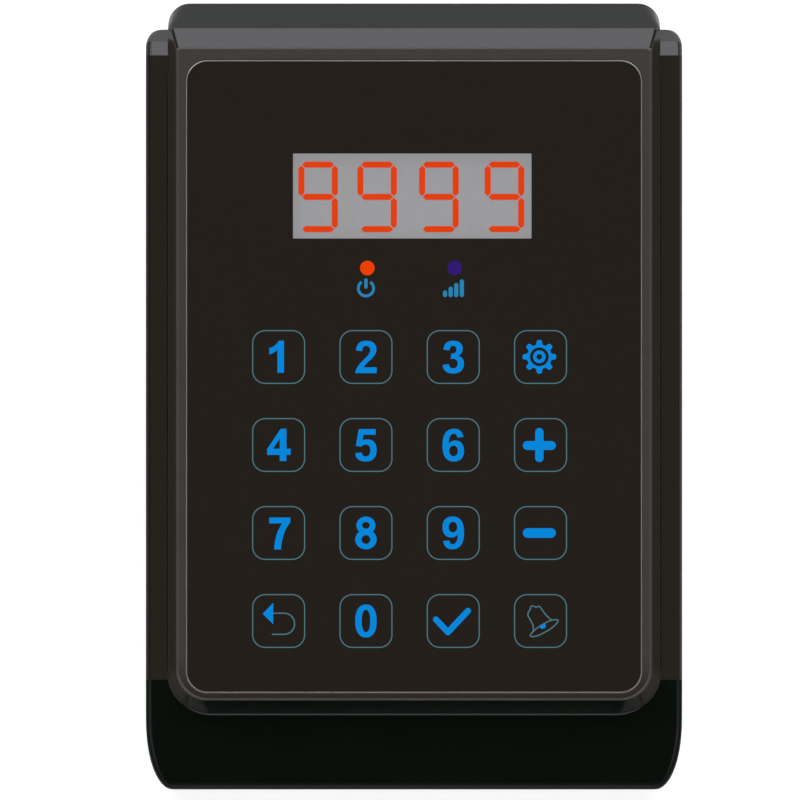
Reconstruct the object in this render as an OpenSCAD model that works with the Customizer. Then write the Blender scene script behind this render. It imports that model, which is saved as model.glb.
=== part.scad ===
// Desk keypad of a guest pager system: a raised face with a touch panel and a four-digit
// display, on a wedge housing with a low wing on each side and a sloping chin in front.
//
// Millimetres. X is to the right, Y away from the user and Z up. The origin is on the desk,
// under the middle of the housing. The face has a frame of its own, tilted towards the user:
// u along X, v up the face and w out of it, with w = 0 on the rim round the touch panel.

/* [Stance] */
// Angle of the face above the desk
tilt = 8; // [6:0.5:10]
// Height of the middle of the face above the desk
face_h = 29; // [28:0.5:33]
// Height of the seam between the two halves of the housing
seam_h = 6; // [5.5:0.25:7]
// How far the feet stand out under the housing
foot_proud = 1.5; // [1:0.25:2.5]

/* [Wings and chin] */
// Width of the housing over both wings
body_w = 107.4; // [106:0.2:114]
// From the middle of the face to the front lip
body_front = 78.7; // [77:0.1:84]
// From the middle of the face to the rear of the wings
wing_rear = 73.5; // [72:0.1:75]
// How far the wings lie below the face
wing_step = 5; // [4:0.1:6]
// From the middle of the face to the crease where the chin begins
crease_v = 56.8; // [54:0.1:60]
// Height of the front lip above the seam
lip_h = 1.2; // [0.8:0.1:2]
// Extra drop of the chin where it rolls over into the lip
chin_roll = 1.8; // [1:0.1:2.5]
// Width of the rounding of the front corners
corner_w = 5.4; // [3:0.1:8]
// Length of the rounding of the front corners
corner_l = 14; // [8:0.5:18]
// Length of the bevel at the rear of the wings
wing_bevel_l = 2.8; // [2:0.1:4]
// Drop of that bevel
wing_bevel_drop = 2.4; // [1.5:0.1:3.5]
// Length of the slope behind the bevel
wing_slope_l = 2.5; // [1.5:0.1:4]
// Drop of that slope
wing_slope_drop = 7.5; // [5:0.1:9]
// Width of the rounding of the rear corners of the wings
tail_w = 2.4; // [1:0.1:4]
// Length of that rounding
tail_l = 3.6; // [2:0.1:5]
// Radius along the outer edges of the wings
wing_edge_r = 1.2; // [0.6:0.1:2]

/* [Raised pod] */
// Width of the pod at its rim
pod_rim_w = 95.2; // [94.4:0.1:96.5]
// Width of the pod at its foot
pod_foot_w = 98.6; // [97.6:0.1:101]
// From the middle of the face to the front of the rim
pod_rim_front = 60.9; // [60.4:0.1:62]
// From the middle of the face to the front of the foot
pod_foot_front = 63.8; // [62.8:0.1:66]
// From the middle of the face to the rear of the rim
pod_rim_rear = 69.8; // [69:0.1:71]
// Length of the bevel behind the rim
pod_bevel_l = 3.8; // [2.5:0.1:5]
// Drop of that bevel
pod_bevel_drop = 3; // [2:0.1:4]
// Length of the slope behind the bevel
pod_slope_l = 5.1; // [3.5:0.1:6]
// Drop of that slope
pod_slope_drop = 9.6; // [7:0.1:11]
// Radius of the rim's front corners
pod_front_r = 6.2; // [5:0.1:8]
// Radius of the foot's front corners
pod_foot_r = 9; // [7:0.1:12]
// Radius of the pod's rear corners at its foot
pod_rear_r = 4.4; // [3:0.1:6]
// Radius of the pod's rear corners at its rim and bevel, where they are almost mitred
pod_ridge_r = 0.8; // [0.5:0.1:2]
// Radius of the rounding along the rim
rim_r = 0.5; // [0.3:0.1:0.8]

/* [Moulding] */
// Thickness of the housing's walls
wall = 2.2; // [1.8:0.1:2.6]
// Thickness of the deck under the touch panel
deck_t = 2; // [1.5:0.1:2.5]
// Thickness of the bottom cover's floor
floor_t = 2; // [1.8:0.1:2.6]
// Clearance between parts that are laid into each other
lay_gap = 0.2; // [0.1:0.05:0.3]
// How far the cover's side steps in at the seam
seam_step = 0.4; // [0.2:0.1:0.8]
// Bevel along the cover's lower edge
cover_bevel = 1.5; // [0.8:0.1:2]
// Height of the cover's tongue above the seam
tongue_h = 1.6; // [1:0.1:2]
// Thickness of the cover's tongue
tongue_t = 1.2; // [0.8:0.1:1.5]

/* [Touch panel] */
// Width of the touch panel
panel_w = 91.4; // [90:0.1:92]
// Length of the touch panel
panel_l = 126.7; // [125:0.1:127.2]
// From the middle of the face up to the middle of the panel
panel_v = 3.9; // [3.6:0.1:4.2]
// Corner radius of the panel
panel_r = 4.4; // [3:0.1:6]
// Thickness of the panel
panel_t = 2; // [1.5:0.1:2.5]
// Bevel along the panel's upper edge
panel_bevel = 0.3; // [0.2:0.05:0.5]
// Thickness of the adhesive sheet under the panel
tape_t = 0.3; // [0.2:0.05:0.5]

/* [Keys] */
// Spacing of the key columns
key_pitch_u = 17.46; // [17:0.02:18]
// Spacing of the key rows
key_pitch_v = 17.6; // [17:0.1:18]
// From the middle of the panel to the middle of the columns
key_u = -0.6; // [-1:0.1:1]
// From the middle of the face down to the middle of the rows
key_v = 18.6; // [18:0.1:19]
// Width of the square well behind each key
well_w = 13.4; // [12:0.1:14]
// Outer radius of a key's conductive sleeve
sleeve_r = 4.5; // [4:0.1:5]
// Wall of a conductive sleeve
sleeve_t = 0.8; // [0.5:0.1:1]
// Side of a key's backlight lamp
lamp_w = 2.8; // [2:0.1:3.5]
// Height of a key's backlight lamp
lamp_h = 1.9; // [1:0.1:2.5]
// Border of the light frame round the outer wells
light_rim = 1.6; // [1:0.1:2]

/* [Display] */
// Width of the display module
disp_w = 50.3; // [50:0.1:52]
// Length of the display module up the face
disp_l = 19; // [18.5:0.1:20]
// Depth of the display module
disp_t = 8; // [7.5:0.1:8.5]
// From the middle of the face up to the middle of the display
disp_v = 40; // [39.5:0.1:40.5]
// Height of a digit
digit_h = 14.2; // [13:0.1:15]
// Width of a digit
digit_w = 7.9; // [7:0.1:8.5]
// Spacing of the digits
digit_pitch = 12.42; // [12.2:0.02:12.7]
// How far the digits sit to the left, to make room for their decimal points
digit_shift = 0.55; // [0:0.05:0.8]
// Width of a segment
segment_w = 1.3; // [1:0.1:1.5]
// Clearance between neighbouring segments
segment_gap = 0.3; // [0.2:0.05:0.5]
// Thickness of a segment's window in the display's face
segment_t = 0.15; // [0.1:0.05:0.25]
// Radius of a decimal point
point_r = 0.65; // [0.5:0.05:0.8]
// Diameter of the two indicator lamps
led_d = 3; // [2.8:0.1:3.2]
// From the middle of the display down to the indicator lamps
led_drop = 14.4; // [14.2:0.1:15]

/* [Circuit board] */
// Width of the circuit board
board_w = 86; // [84:0.5:88]
// Length of the circuit board
board_l = 108; // [107:0.5:109]
// Thickness of the circuit board
board_t = 1.6; // [1.2:0.1:2]
// From the board's long edge to its screws
board_screw_in = 4; // [3.8:0.1:4.5]
// From the board's short edge to its outer screws
board_screw_end = 5; // [4.5:0.1:5.5]
// Radius of the pillars that carry the board
pillar_r = 3; // [2.5:0.1:3.4]
// Radius of the board screws' pilot holes
board_pilot_r = 1.05; // [0.9:0.05:1.2]
// Length of a board screw under its head
board_screw_l = 6.5; // [5.5:0.1:7]

/* [Housing screws and feet] */
// From the side of the housing in to the housing screws
screw_in = 6.2; // [6:0.1:7]
// From the front of the housing to the front housing screws
screw_front = 17; // [16.8:0.1:18]
// From the rear of the housing to the rear housing screws
screw_rear = 20; // [19:0.1:20.4]
// Radius of the housing screws' posts in the upper housing
post_r = 3.4; // [3:0.1:3.6]
// Radius of the housing screws' pilot holes
housing_pilot_r = 1.25; // [1.1:0.05:1.4]
// Length of a housing screw under its head
housing_screw_l = 8; // [6.5:0.5:8.5]
// Radius of a housing screw's head
housing_head_r = 2.8; // [2.5:0.1:3]
// Height of a housing screw's head
housing_head_h = 1.8; // [1.4:0.1:2]
// Thickness of plastic under a housing screw's head
head_seat_t = 1.6; // [1.2:0.1:2]
// Radius of a rubber foot
foot_r = 5; // [4.5:0.1:5.2]
// From the middle of the housing out to the feet
foot_x = 42; // [41:0.5:43]
// From the front or rear of the housing to the middle of a foot
foot_in = 8.4; // [8.2:0.1:9]
// Depth of a foot's seat in the bottom cover
foot_seat = 0.8; // [0.5:0.1:1]

/* [Connector bay] */
// Width of the bay in the rear wall
bay_w = 46; // [44:0.5:52]
// Height of the bay
bay_h = 13; // [12.4:0.1:14]
// Depth of the bay
bay_d = 3.2; // [2.8:0.1:3.6]
// Height of the bay's middle above the desk
bay_z = 16.4; // [16:0.1:17]
// Thickness of the bay's floor and sides
bay_wall = 1.8; // [1.5:0.1:2]

/* [Power socket] */
// From the middle of the housing to the power socket
socket_x = 13; // [12:0.5:15]
// Radius of the socket's bore
socket_bore_r = 3; // [2.9:0.05:3.2]
// Outer radius of the socket's barrel
barrel_r = 4; // [3.9:0.05:4.2]
// Length of the barrel behind its flange
barrel_l = 11; // [10:0.5:13]
// Radius of the socket's flange
socket_flange_r = 5.4; // [5:0.1:5.8]
// Thickness of the flange
socket_flange_t = 1.5; // [1:0.1:2]
// Depth of the socket's bore
socket_depth = 9.5; // [8.5:0.1:10]
// Radius of the centre pin
socket_pin_r = 1; // [0.9:0.05:1.25]
// How far the pin's tip lies inside the mouth
socket_pin_in = 0.8; // [0.5:0.1:1.5]
// Size of the nut across its flats
nut_af = 10.6; // [10.4:0.1:11]
// Thickness of the nut
nut_t = 2; // [1.5:0.1:2.5]

/* [Power switch] */
// From the middle of the housing to the power switch
switch_x = -11; // [-13:0.5:-10]
// Width of the switch's flange
switch_flange_w = 15; // [14.6:0.1:16]
// Height of the switch's flange
switch_flange_h = 10.5; // [10.2:0.1:11]
// Thickness of the switch's flange
switch_flange_t = 1.2; // [1:0.1:1.4]
// Width of the switch's body
switch_w = 13; // [12.8:0.1:13.4]
// Height of the switch's body
switch_h = 8.6; // [8.4:0.1:8.9]
// Depth of the switch's body behind its flange
switch_d = 11; // [10:0.5:12]
// Wall of the switch's body
switch_wall = 0.5; // [0.4:0.05:0.6]
// Depth of the rocker's axle below the flange's outer face
axle_d = 4; // [3.6:0.1:4.4]
// Radius of the rocker's axle stubs
axle_r = 0.8; // [0.7:0.05:0.9]
// Running clearance of the rocker on its axle stubs
axle_gap = 0.05; // [0.03:0.01:0.08]
// Turn of the rocker each way from its middle
rocker_turn = 9; // [7:0.5:10]
// Clearance round the rocker
rocker_gap = 0.3; // [0.2:0.05:0.4]

/* [Hidden] */

// Roundness of what is drawn as a true circle
$fn = 48;
// Steps round each corner of the pod, and degrees between the points of a small rounding
corner_steps = 8;
round_step = 30;
// Overshoot of a cut past the face it opens
cut = 1;
// Least radius of an inner corner
least_r = 0.3;

// Colours
gloss_black = [0.13, 0.13, 0.12];
matt_black = [0.08, 0.08, 0.08];
panel_black = [0.145, 0.13, 0.11];

// Levels under the rim, in the face's frame
panel_back = -panel_t;
deck_top = panel_back - tape_t;
deck_back = deck_top - deck_t;
board_top = deck_top - disp_t;
board_back = board_top - board_t;

// Where the two indicator lamps stand, over two of the key columns
led_columns = [1, 2];
led_v = disp_v - led_drop;

// Where the pod's walls turn
pod_foot_drop = wing_step + 0.4;
pod_front_drop = wing_step + 1.8;
pod_rear = pod_rim_rear + pod_bevel_l + pod_slope_l;
pod_rear_drop = rim_r + pod_bevel_drop + pod_slope_drop;

// The housing's reach along Y, before the origin is moved to its middle
lip_w = face_level(-body_front, seam_h + lip_h);
front_reach = body_front * cos(tilt) + lip_w * sin(tilt);
rear_reach = pod_rear * cos(tilt) + pod_rear_drop * sin(tilt);
origin_y = (front_reach - rear_reach) / 2;
front_y = -(front_reach + rear_reach) / 2;
rear_y = -front_y;

// The chin
chin_l = body_front - crease_v;
chin_slope = (-lip_w - wing_step - chin_roll) / chin_l;
wing_slope_v = wing_rear - wing_slope_l;
wing_bevel_v = wing_slope_v - wing_bevel_l;

// ---- The face's frame ----

// Y and Z of the point (v, w) of the face's frame
function face_y(v, w) = v * cos(tilt) - w * sin(tilt) + origin_y;
function face_z(v, w) = v * sin(tilt) + w * cos(tilt) + face_h;

// The level w at which the line across the face at v is z above the desk
function face_level(v, z) = (z - face_h - v * sin(tilt)) / cos(tilt);

module on_face() translate([0, origin_y, face_h]) rotate([tilt, 0, 0]) children();

// ---- Skins through rings of points ----

function skin_faces(rings, n) = concat(
    [[for (i = [0 : n - 1]) i]],
    [for (k = [0 : rings - 2], i = [0 : n - 1])
        let (a = k * n + i, b = k * n + (i + 1) % n)
        each [[a, b + n, b], [a, a + n, b + n]]],
    [[for (i = [n - 1 : -1 : 0]) (rings - 1) * n + i]]
);

// A closed skin through rings that run anticlockwise, seen from the last ring
module skin(rings) {
    n = len(rings[0]);
    polyhedron(points = [for (r = rings) each r], faces = skin_faces(len(rings), n));
}

// Numbers in rising order
function sorted(a) = len(a) < 2 ? a :
    let (m = a[floor(len(a) / 2)])
    concat(sorted([for (x = a) if (x < m) x]), [m], sorted([for (x = a) if (x > m) x]));

// ---- The wings and chin ----

// How far the chin has fallen at s behind its crease
function chin_fall(s) =
    chin_slope * s + chin_roll * (1 - sqrt(max(0, 1 - pow(s / chin_l, 2))));

// Level w of the wings' upper surface at v
function wing_top(v) = -wing_step - (
    v < -crease_v ? chin_fall(-crease_v - v) :
    v < wing_bevel_v ? 0 :
    v < wing_slope_v ? wing_bevel_drop * (v - wing_bevel_v) / wing_bevel_l :
    wing_bevel_drop + wing_slope_drop * (v - wing_slope_v) / wing_slope_l);

// How far an elliptic corner of width w draws in at the share s of its length
function draw_in(w, s) = w * (1 - sqrt(max(0, 1 - pow(max(0, s), 2))));

function wing_half(v) = body_w / 2
    - draw_in(corner_w, (corner_l - body_front - v) / corner_l)
    - draw_in(tail_w, (v - wing_rear + tail_l) / tail_l);

// Places along the face where the wings are cut into sections, close together at both ends
wing_stations = concat(
    [for (t = [0 : 9 : 90]) -body_front + chin_l * (1 - cos(t))],
    [for (k = [0 : 3]) wing_bevel_v + wing_bevel_l * k / 3],
    [for (t = [18 : 18 : 90]) wing_slope_v + wing_slope_l * sin(t)]
);

// Y of the station at v, drawn in from the nearer end by inset
function wing_y(v, inset) =
    face_y(v - inset * (v < 0 ? v / body_front : v / wing_rear), wing_top(v));

// The section at v, upright and across the housing, inside a wall of inset, from the height low
function wing_section(v, inset, low) =
    let (
        half = wing_half(v) - inset,
        y = wing_y(v, inset),
        top = max(face_z(v, wing_top(v)) - inset, low + cut / 2),
        r = min(wing_edge_r, (top - low) / 2),
        side = concat([[half, low]],
            [for (t = [0 : round_step : 90]) [half - r * (1 - cos(t)), top - r * (1 - sin(t))]])
    )
    concat([for (p = side) [p[0], y, p[1]]],
        [for (i = [len(side) - 1 : -1 : 0]) [-side[i][0], y, side[i][1]]]);

module wing_form(inset, low) {
    skin([for (i = [len(wing_stations) - 1 : -1 : 0]) wing_section(wing_stations[i], inset, low)]);
}

// ---- The raised pod ----

// A ring of points round a rectangle whose front and rear corners have their own radii
function ring(half, front, rear, r_front, r_rear) = [
    for (c = [[1, 1], [-1, 1], [-1, -1], [1, -1]], k = [0 : corner_steps])
        let (
            back = c[1] > 0,
            r = back ? r_rear : r_front,
            start = back ? (c[0] > 0 ? 0 : 90) : (c[0] > 0 ? 270 : 180),
            a = start + 90 * k / corner_steps
        )
        [c[0] * (half - r) + r * cos(a), (back ? rear - r : -front + r) + r * sin(a)]
];

pod_rear_table = [
    [-pod_rear_drop, pod_rear],
    [-rim_r - pod_bevel_drop, pod_rim_rear + pod_bevel_l],
    [-rim_r, pod_rim_rear]
];
pod_front_table = [[-pod_front_drop, pod_foot_front], [-rim_r, pod_rim_front]];
pod_side_table = [[-pod_foot_drop, pod_foot_w / 2], [-rim_r, pod_rim_w / 2]];
pod_corner_table = [[-pod_front_drop, pod_foot_r], [-rim_r, pod_front_r]];
pod_ridge_table = [[-pod_rear_drop, pod_rear_r], [-rim_r - pod_bevel_drop, pod_ridge_r]];

// The pod's outline at the level w, inside a wall of inset
function pod_ring(w, inset) = [
    for (p = ring(
        lookup(w, pod_side_table) - inset,
        lookup(w, pod_front_table) - inset,
        lookup(w, pod_rear_table) - inset,
        lookup(w, pod_corner_table) - inset / 2,
        max(least_r, lookup(w, pod_ridge_table) - inset / 2)))
    [p[0], face_y(p[1], w), face_z(p[1], w)]
];

// The same outline on the level plane at the height z, where the rear wall is upright
function pod_base_ring(z, inset) = [
    for (p = ring(pod_foot_w / 2 - inset, pod_foot_front - inset, rear_y - inset,
        pod_foot_r - inset / 2, pod_rear_r - inset / 2))
    [p[0], p[1], z]
];

pod_turns = [-pod_rear_drop, -pod_front_drop, -pod_foot_drop, -rim_r - pod_bevel_drop];

module pod_form() {
    skin(concat(
        [pod_base_ring(seam_h, 0)],
        [for (w = sorted(pod_turns)) pod_ring(w, 0)],
        [for (t = [0 : round_step : 90]) pod_ring(-rim_r * (1 - sin(t)), rim_r * (1 - cos(t)))]
    ));
}

// The hollow inside the pod, from below the seam up to the back of the deck
module pod_hollow() {
    skin(concat(
        [pod_base_ring(seam_h - cut, wall)],
        [for (w = sorted(pod_turns)) if (w < deck_back) pod_ring(w, wall)],
        [pod_ring(deck_back, wall)]
    ));
}

// ---- Shared shapes ----

// A rectangle with round corners
module round_rect(w, l, r) {
    square([w - 2 * r, l], center = true);
    square([w, l - 2 * r], center = true);
    for (i = [-1, 1], j = [-1, 1])
        translate([i * (w / 2 - r), j * (l / 2 - r)]) circle(r = r);
}

// A child at each of the 16 keys, in the face's frame
module at_keys() {
    for (i = [0 : 3], j = [0 : 3])
        translate([key_u + (i - 1.5) * key_pitch_u, (1.5 - j) * key_pitch_v - key_v, 0]) children();
}

function column_u(i) = key_u + (i - 1.5) * key_pitch_u;

// A child at each of the board's six screws
module at_board_screws() {
    for (i = [-1, 1], v = [-board_l / 2 + board_screw_end, key_clear_v, board_l / 2 - board_screw_end])
        translate([i * (board_w / 2 - board_screw_in), v, 0]) children();
}

// The board's middle screws stand between the keys and the display
key_clear_v = led_v - led_d - pillar_r;

housing_points = [
    for (i = [-1, 1], y = [front_y + screw_front, rear_y - screw_rear])
        [i * (body_w / 2 - screw_in), y]
];
foot_points = [for (i = [-1, 1], j = [-1, 1]) [i * foot_x, j * (rear_y - foot_in)]];

// Top of a housing screw's post at y, inside the wing's wall over it
function post_top(y) =
    let (v = (y - post_r - origin_y) / cos(tilt))
    face_z(v, wing_top(v)) - wall / 2;

post_foot = foot_proud + housing_head_h + 0.4 + head_seat_t;

// A child on the rear bay's floor, with +Z out of the housing
module on_bay(x) translate([x, rear_y - bay_d, bay_z]) rotate([-90, 0, 0]) children();

// ---- Housing ----

module deck_openings() {
    translate([0, disp_v, 0])
        cube([disp_w + 2 * lay_gap, disp_l + 2 * lay_gap, 3 * deck_t], center = true);
    at_keys() cube([well_w, well_w, 3 * deck_t], center = true);
    for (i = led_columns) translate([column_u(i), led_v, 0])
        cylinder(r = led_d / 2 + lay_gap, h = 3 * deck_t, center = true);
}

module bay_block() {
    translate([-bay_w / 2 - bay_wall, rear_y - bay_d - bay_wall, bay_z - bay_h / 2 - bay_wall])
        cube([bay_w + 2 * bay_wall, bay_d + bay_wall - wall / 2, bay_h + 2 * bay_wall]);
}

module bay_cuts() {
    translate([-bay_w / 2, rear_y - bay_d, bay_z - bay_h / 2])
        cube([bay_w, bay_d + cut, bay_h]);
    on_bay(switch_x)
        cube([switch_w + 2 * lay_gap, switch_h + 2 * lay_gap, 4 * bay_wall], center = true);
    on_bay(socket_x) cylinder(r = barrel_r + lay_gap / 2, h = 4 * bay_wall, center = true);
}

module top_shell() color(gloss_black) {
    difference() {
        union() {
            difference() {
                union() {
                    wing_form(0, seam_h);
                    pod_form();
                }
                wing_form(wall, seam_h - cut);
                pod_hollow();
            }
            for (p = housing_points) translate([p[0], p[1], post_foot])
                cylinder(r = post_r, h = post_top(p[1]) - post_foot);
            on_face() at_board_screws() translate([0, 0, board_top])
                cylinder(r = pillar_r, h = deck_back - board_top + deck_t / 2);
            bay_block();
        }
        on_face() {
            translate([0, panel_v, deck_top]) linear_extrude(panel_t + tape_t + cut)
                round_rect(panel_w + 2 * lay_gap, panel_l + 2 * lay_gap, panel_r + lay_gap);
            translate([0, 0, deck_top]) deck_openings();
            at_board_screws() translate([0, 0, board_top - cut])
                cylinder(r = board_pilot_r, h = deck_back - board_top + cut);
        }
        for (p = housing_points) translate([p[0], p[1], post_foot - cut])
            cylinder(r = housing_pilot_r, h = housing_screw_l - head_seat_t + 2 * cut);
        bay_cuts();
    }
}

// Outline of the wings and chin on the level plane at the height z, drawn in by inset
function wing_base_ring(z, inset) = concat(
    [for (v = wing_stations) [wing_half(v) - inset, wing_y(v, inset), z]],
    [for (i = [len(wing_stations) - 1 : -1 : 0])
        [inset - wing_half(wing_stations[i]), wing_y(wing_stations[i], inset), z]]
);

// Outline of the housing at the seam, drawn in by inset
module seam_outline(inset) {
    polygon([for (p = wing_base_ring(0, inset)) [p[0], p[1]]]);
    polygon([for (p = pod_base_ring(0, inset)) [p[0], p[1]]]);
}

// The cover's outer form: each level's height, and how far it is drawn in
cover_levels = [
    [foot_proud, seam_step + cover_bevel],
    [foot_proud + cover_bevel, seam_step],
    [seam_h, seam_step]
];

module cover_form() {
    skin([for (c = cover_levels) wing_base_ring(c[0], c[1])]);
    skin([for (c = cover_levels) pod_base_ring(c[0], c[1])]);
}

// The cover's tongue stands inside the upper housing's wall, and stops short of the low chin
tongue_in = wall + lay_gap + tongue_t;

module bottom_cover() color(matt_black) difference() {
    union() {
        difference() {
            cover_form();
            translate([0, 0, foot_proud + floor_t]) linear_extrude(seam_h) seam_outline(tongue_in);
        }
        translate([0, 0, foot_proud + floor_t]) linear_extrude(seam_h - foot_proud - floor_t + tongue_h)
            difference() {
                seam_outline(wall + lay_gap);
                seam_outline(tongue_in);
                translate([-body_w / 2, front_y]) square([body_w, corner_l]);
            }
        for (p = housing_points) translate([p[0], p[1], foot_proud])
            cylinder(r = post_r + floor_t / 2, h = post_foot - foot_proud);
    }
    for (p = housing_points) translate([p[0], p[1], 0]) {
        cylinder(r = housing_head_r + lay_gap, h = post_foot - head_seat_t);
        cylinder(r = housing_pilot_r + 2 * lay_gap, h = seam_h + cut);
        translate([0, 0, post_foot]) cylinder(r = post_r + lay_gap, h = seam_h);
    }
    for (p = foot_points) translate([p[0], p[1], 0])
        cylinder(r = foot_r + lay_gap / 2, h = foot_proud + foot_seat);
}

// ---- Touch panel and light path ----

// One level of the touch panel, drawn in by inset
function panel_ring(z, inset) = [
    for (p = ring(panel_w / 2 - inset, panel_l / 2 - inset, panel_l / 2 - inset,
        panel_r - inset, panel_r - inset))
    [p[0], p[1], z]
];

module touch_panel() color(panel_black) on_face() translate([0, panel_v, panel_back])
    skin([panel_ring(0, 0), panel_ring(panel_t - panel_bevel, 0), panel_ring(panel_t, panel_bevel)]);

module panel_adhesive() color([0.2, 0.2, 0.2]) on_face() translate([0, 0, deck_top])
    difference() {
        translate([0, panel_v, 0]) linear_extrude(tape_t) round_rect(panel_w, panel_l, panel_r);
        deck_openings();
    }

module light_frame() color("white") on_face() difference() {
    translate([key_u, -key_v, board_top]) linear_extrude(deck_back - board_top)
        square([3 * key_pitch_u + well_w + 2 * light_rim, 3 * key_pitch_v + well_w + 2 * light_rim],
            center = true);
    translate([0, 0, board_top]) at_keys() cube([well_w, well_w, 2 * disp_t], center = true);
}

module touch_sleeves() color([0.25, 0.25, 0.27]) on_face() translate([0, 0, board_top]) at_keys()
    difference() {
        cylinder(r = sleeve_r, h = panel_back - board_top);
        translate([0, 0, -cut]) cylinder(r = sleeve_r - sleeve_t, h = disp_t + 2 * cut);
    }

module backlight_lamps() color([0.95, 0.9, 0.6]) on_face() translate([0, 0, board_top]) at_keys()
    translate([-lamp_w / 2, -lamp_w / 2, 0]) cube([lamp_w, lamp_w, lamp_h]);

// ---- Display and indicator lamps ----

module display_module() color([0.6, 0.6, 0.61]) on_face() translate([0, disp_v, board_top + disp_t / 2])
    cube([disp_w, disp_l, disp_t], center = true);

// One bar of a digit, along X, with its ends cut to points at 45 degrees
module segment(length) {
    a = length / 2 - segment_gap / 2;
    b = segment_w / 2;
    linear_extrude(segment_t)
        polygon([[-a, 0], [b - a, b], [a - b, b], [a, 0], [a - b, -b], [b - a, -b]]);
}

module digit() {
    across = digit_w - segment_w;
    up = (digit_h - segment_w) / 2;
    for (j = [-1, 0, 1]) translate([0, j * up, 0]) segment(across);
    for (i = [-1, 1], j = [-1, 1])
        translate([i * across / 2, j * up / 2, 0]) rotate([0, 0, 90]) segment(up);
    translate([digit_w / 2 + 2 * point_r, -up, 0]) cylinder(r = point_r, h = segment_t);
}

module display_segments() color([0.92, 0.25, 0.02]) on_face()
    for (i = [0 : 3])
        translate([(i - 1.5) * digit_pitch - digit_shift, disp_v, deck_top]) digit();

pin_pitch = 2.54;
pin_row = 15.24;
pin_w = 0.5;

module at_display_pins() {
    for (i = [-2.5 : 2.5], j = [-1, 1]) translate([i * pin_pitch, disp_v + j * pin_row / 2, 0]) children();
}

module display_pins() color("silver") on_face() at_display_pins()
    translate([-pin_w / 2, -pin_w / 2, board_back - pin_pitch / 2])
    cube([pin_w, pin_w, board_top - board_back + pin_pitch / 2]);

// A round lamp with a domed tip, a collar and two legs through the board
led_body_l = 5.3;
led_leg_r = 0.25;
led_leg_pitch = 2.54;

module led() {
    r = led_d / 2;
    tip = panel_back - lay_gap;
    translate([0, 0, tip - led_body_l]) rotate_extrude() {
        square([r, led_body_l - r]);
        translate([0, led_body_l - r]) intersection() {
            circle(r = r);
            square(r);
        }
        square([r + led_leg_r, 1]);
    }
    for (i = [-1, 1]) translate([i * led_leg_pitch / 2, 0, board_back - pin_pitch / 2])
        cylinder(r = led_leg_r, h = tip - led_body_l - board_back + pin_pitch / 2);
}

module power_led() color([0.92, 0.25, 0.02]) on_face()
    translate([column_u(led_columns[0]), led_v, 0]) led();

module signal_led() color([0.2, 0.1, 0.45]) on_face()
    translate([column_u(led_columns[1]), led_v, 0]) led();

// ---- Circuit board and what stands on it ----

module circuit_board() color([0.05, 0.35, 0.15]) on_face() difference() {
    translate([-board_w / 2, -board_l / 2, board_back]) cube([board_w, board_l, board_t]);
    at_board_screws() translate([0, 0, board_back - cut])
        cylinder(r = board_pilot_r + 2 * lay_gap, h = board_t + 2 * cut);
    at_display_pins() translate([0, 0, board_back - cut]) cylinder(r = pin_w, h = board_t + 2 * cut);
    for (i = led_columns, j = [-1, 1])
        translate([column_u(i) + j * led_leg_pitch / 2, led_v, board_back - cut])
        cylinder(r = 2 * led_leg_r, h = board_t + 2 * cut);
}

// A pan-head screw along Z, with its head below the origin
module pan_screw(shank_r, length, head_r, head_h) rotate_extrude()
    polygon([[0, -head_h], [head_r * 0.7, -head_h], [head_r, -head_h * 0.5], [head_r, 0],
        [shank_r, 0], [shank_r, length - shank_r], [0, length]]);

module board_screws() color("silver") on_face() at_board_screws() translate([0, 0, board_back])
    pan_screw(board_pilot_r - lay_gap / 4, board_screw_l, 2.2, 1.5);

chip_pitch = 1.27;
chip_leg_w = 0.4;
chip_leg_l = 1.2;
chip_off = 0.1;

// A flat chip under the board, with a row of legs along each of its long sides
module chip(w, l, h, legs) {
    translate([-w / 2, -l / 2, -h]) cube([w, l, h - chip_off]);
    for (i = [0 : legs - 1], j = [-1, 1])
        translate([j * (w / 2 + chip_leg_l / 2 - chip_off), (i - (legs - 1) / 2) * chip_pitch, -h / 2])
            cube([chip_leg_l, chip_leg_w, h], center = true);
}

// Places under the board, in the face's frame
touch_chip_at = [-14, -26];
main_chip_at = [6, -2];
radio_at = [-30, 0];
buzzer_at = [22, 4];
regulator_at = [30, 34];
capacitor_at = [16, 34];
connector_at = [14, 46];

module under_board(at) on_face() translate([at[0], at[1], board_back]) children();

touch_chip_w = 7.5;
touch_chip_l = 15.4;
touch_chip_h = 2.3;

module touch_controller() color([0.12, 0.12, 0.13]) under_board(touch_chip_at)
    chip(touch_chip_w, touch_chip_l, touch_chip_h, 12);

main_chip_w = 5.3;
main_chip_l = 12.8;
main_chip_h = 2;

module main_controller() color([0.12, 0.12, 0.13]) under_board(main_chip_at)
    chip(main_chip_w, main_chip_l, main_chip_h, 10);

radio_w = 16;
radio_l = 22;
radio_t = 1;
radio_can_h = 2.2;

module radio_module() color([0.1, 0.2, 0.45]) under_board(radio_at) {
    translate([-radio_w / 2, -radio_l / 2, -radio_t]) cube([radio_w, radio_l, radio_t]);
    translate([-radio_w / 2 + 2, -radio_l / 2 + 2, -radio_t - radio_can_h])
        cube([radio_w - 4, radio_l - 8, radio_can_h]);
}

// The antenna's wire winds round an axis across the face and ends in a straight leg
antenna_turns = 9;
antenna_pitch = 2;
antenna_r = 2.5;
antenna_wire_r = 0.4;
antenna_steps = 12;
antenna_sides = 6;

// A ring of n points of radius r round p, square to the direction d, the first one square to side
function tube_ring(p, d, side, r, n) =
    let (a = cross(d, side), b = cross(d, a))
    [for (i = [0 : n - 1]) p + r * (a / norm(a) * cos(360 * i / n) + b / norm(b) * sin(360 * i / n))];

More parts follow.
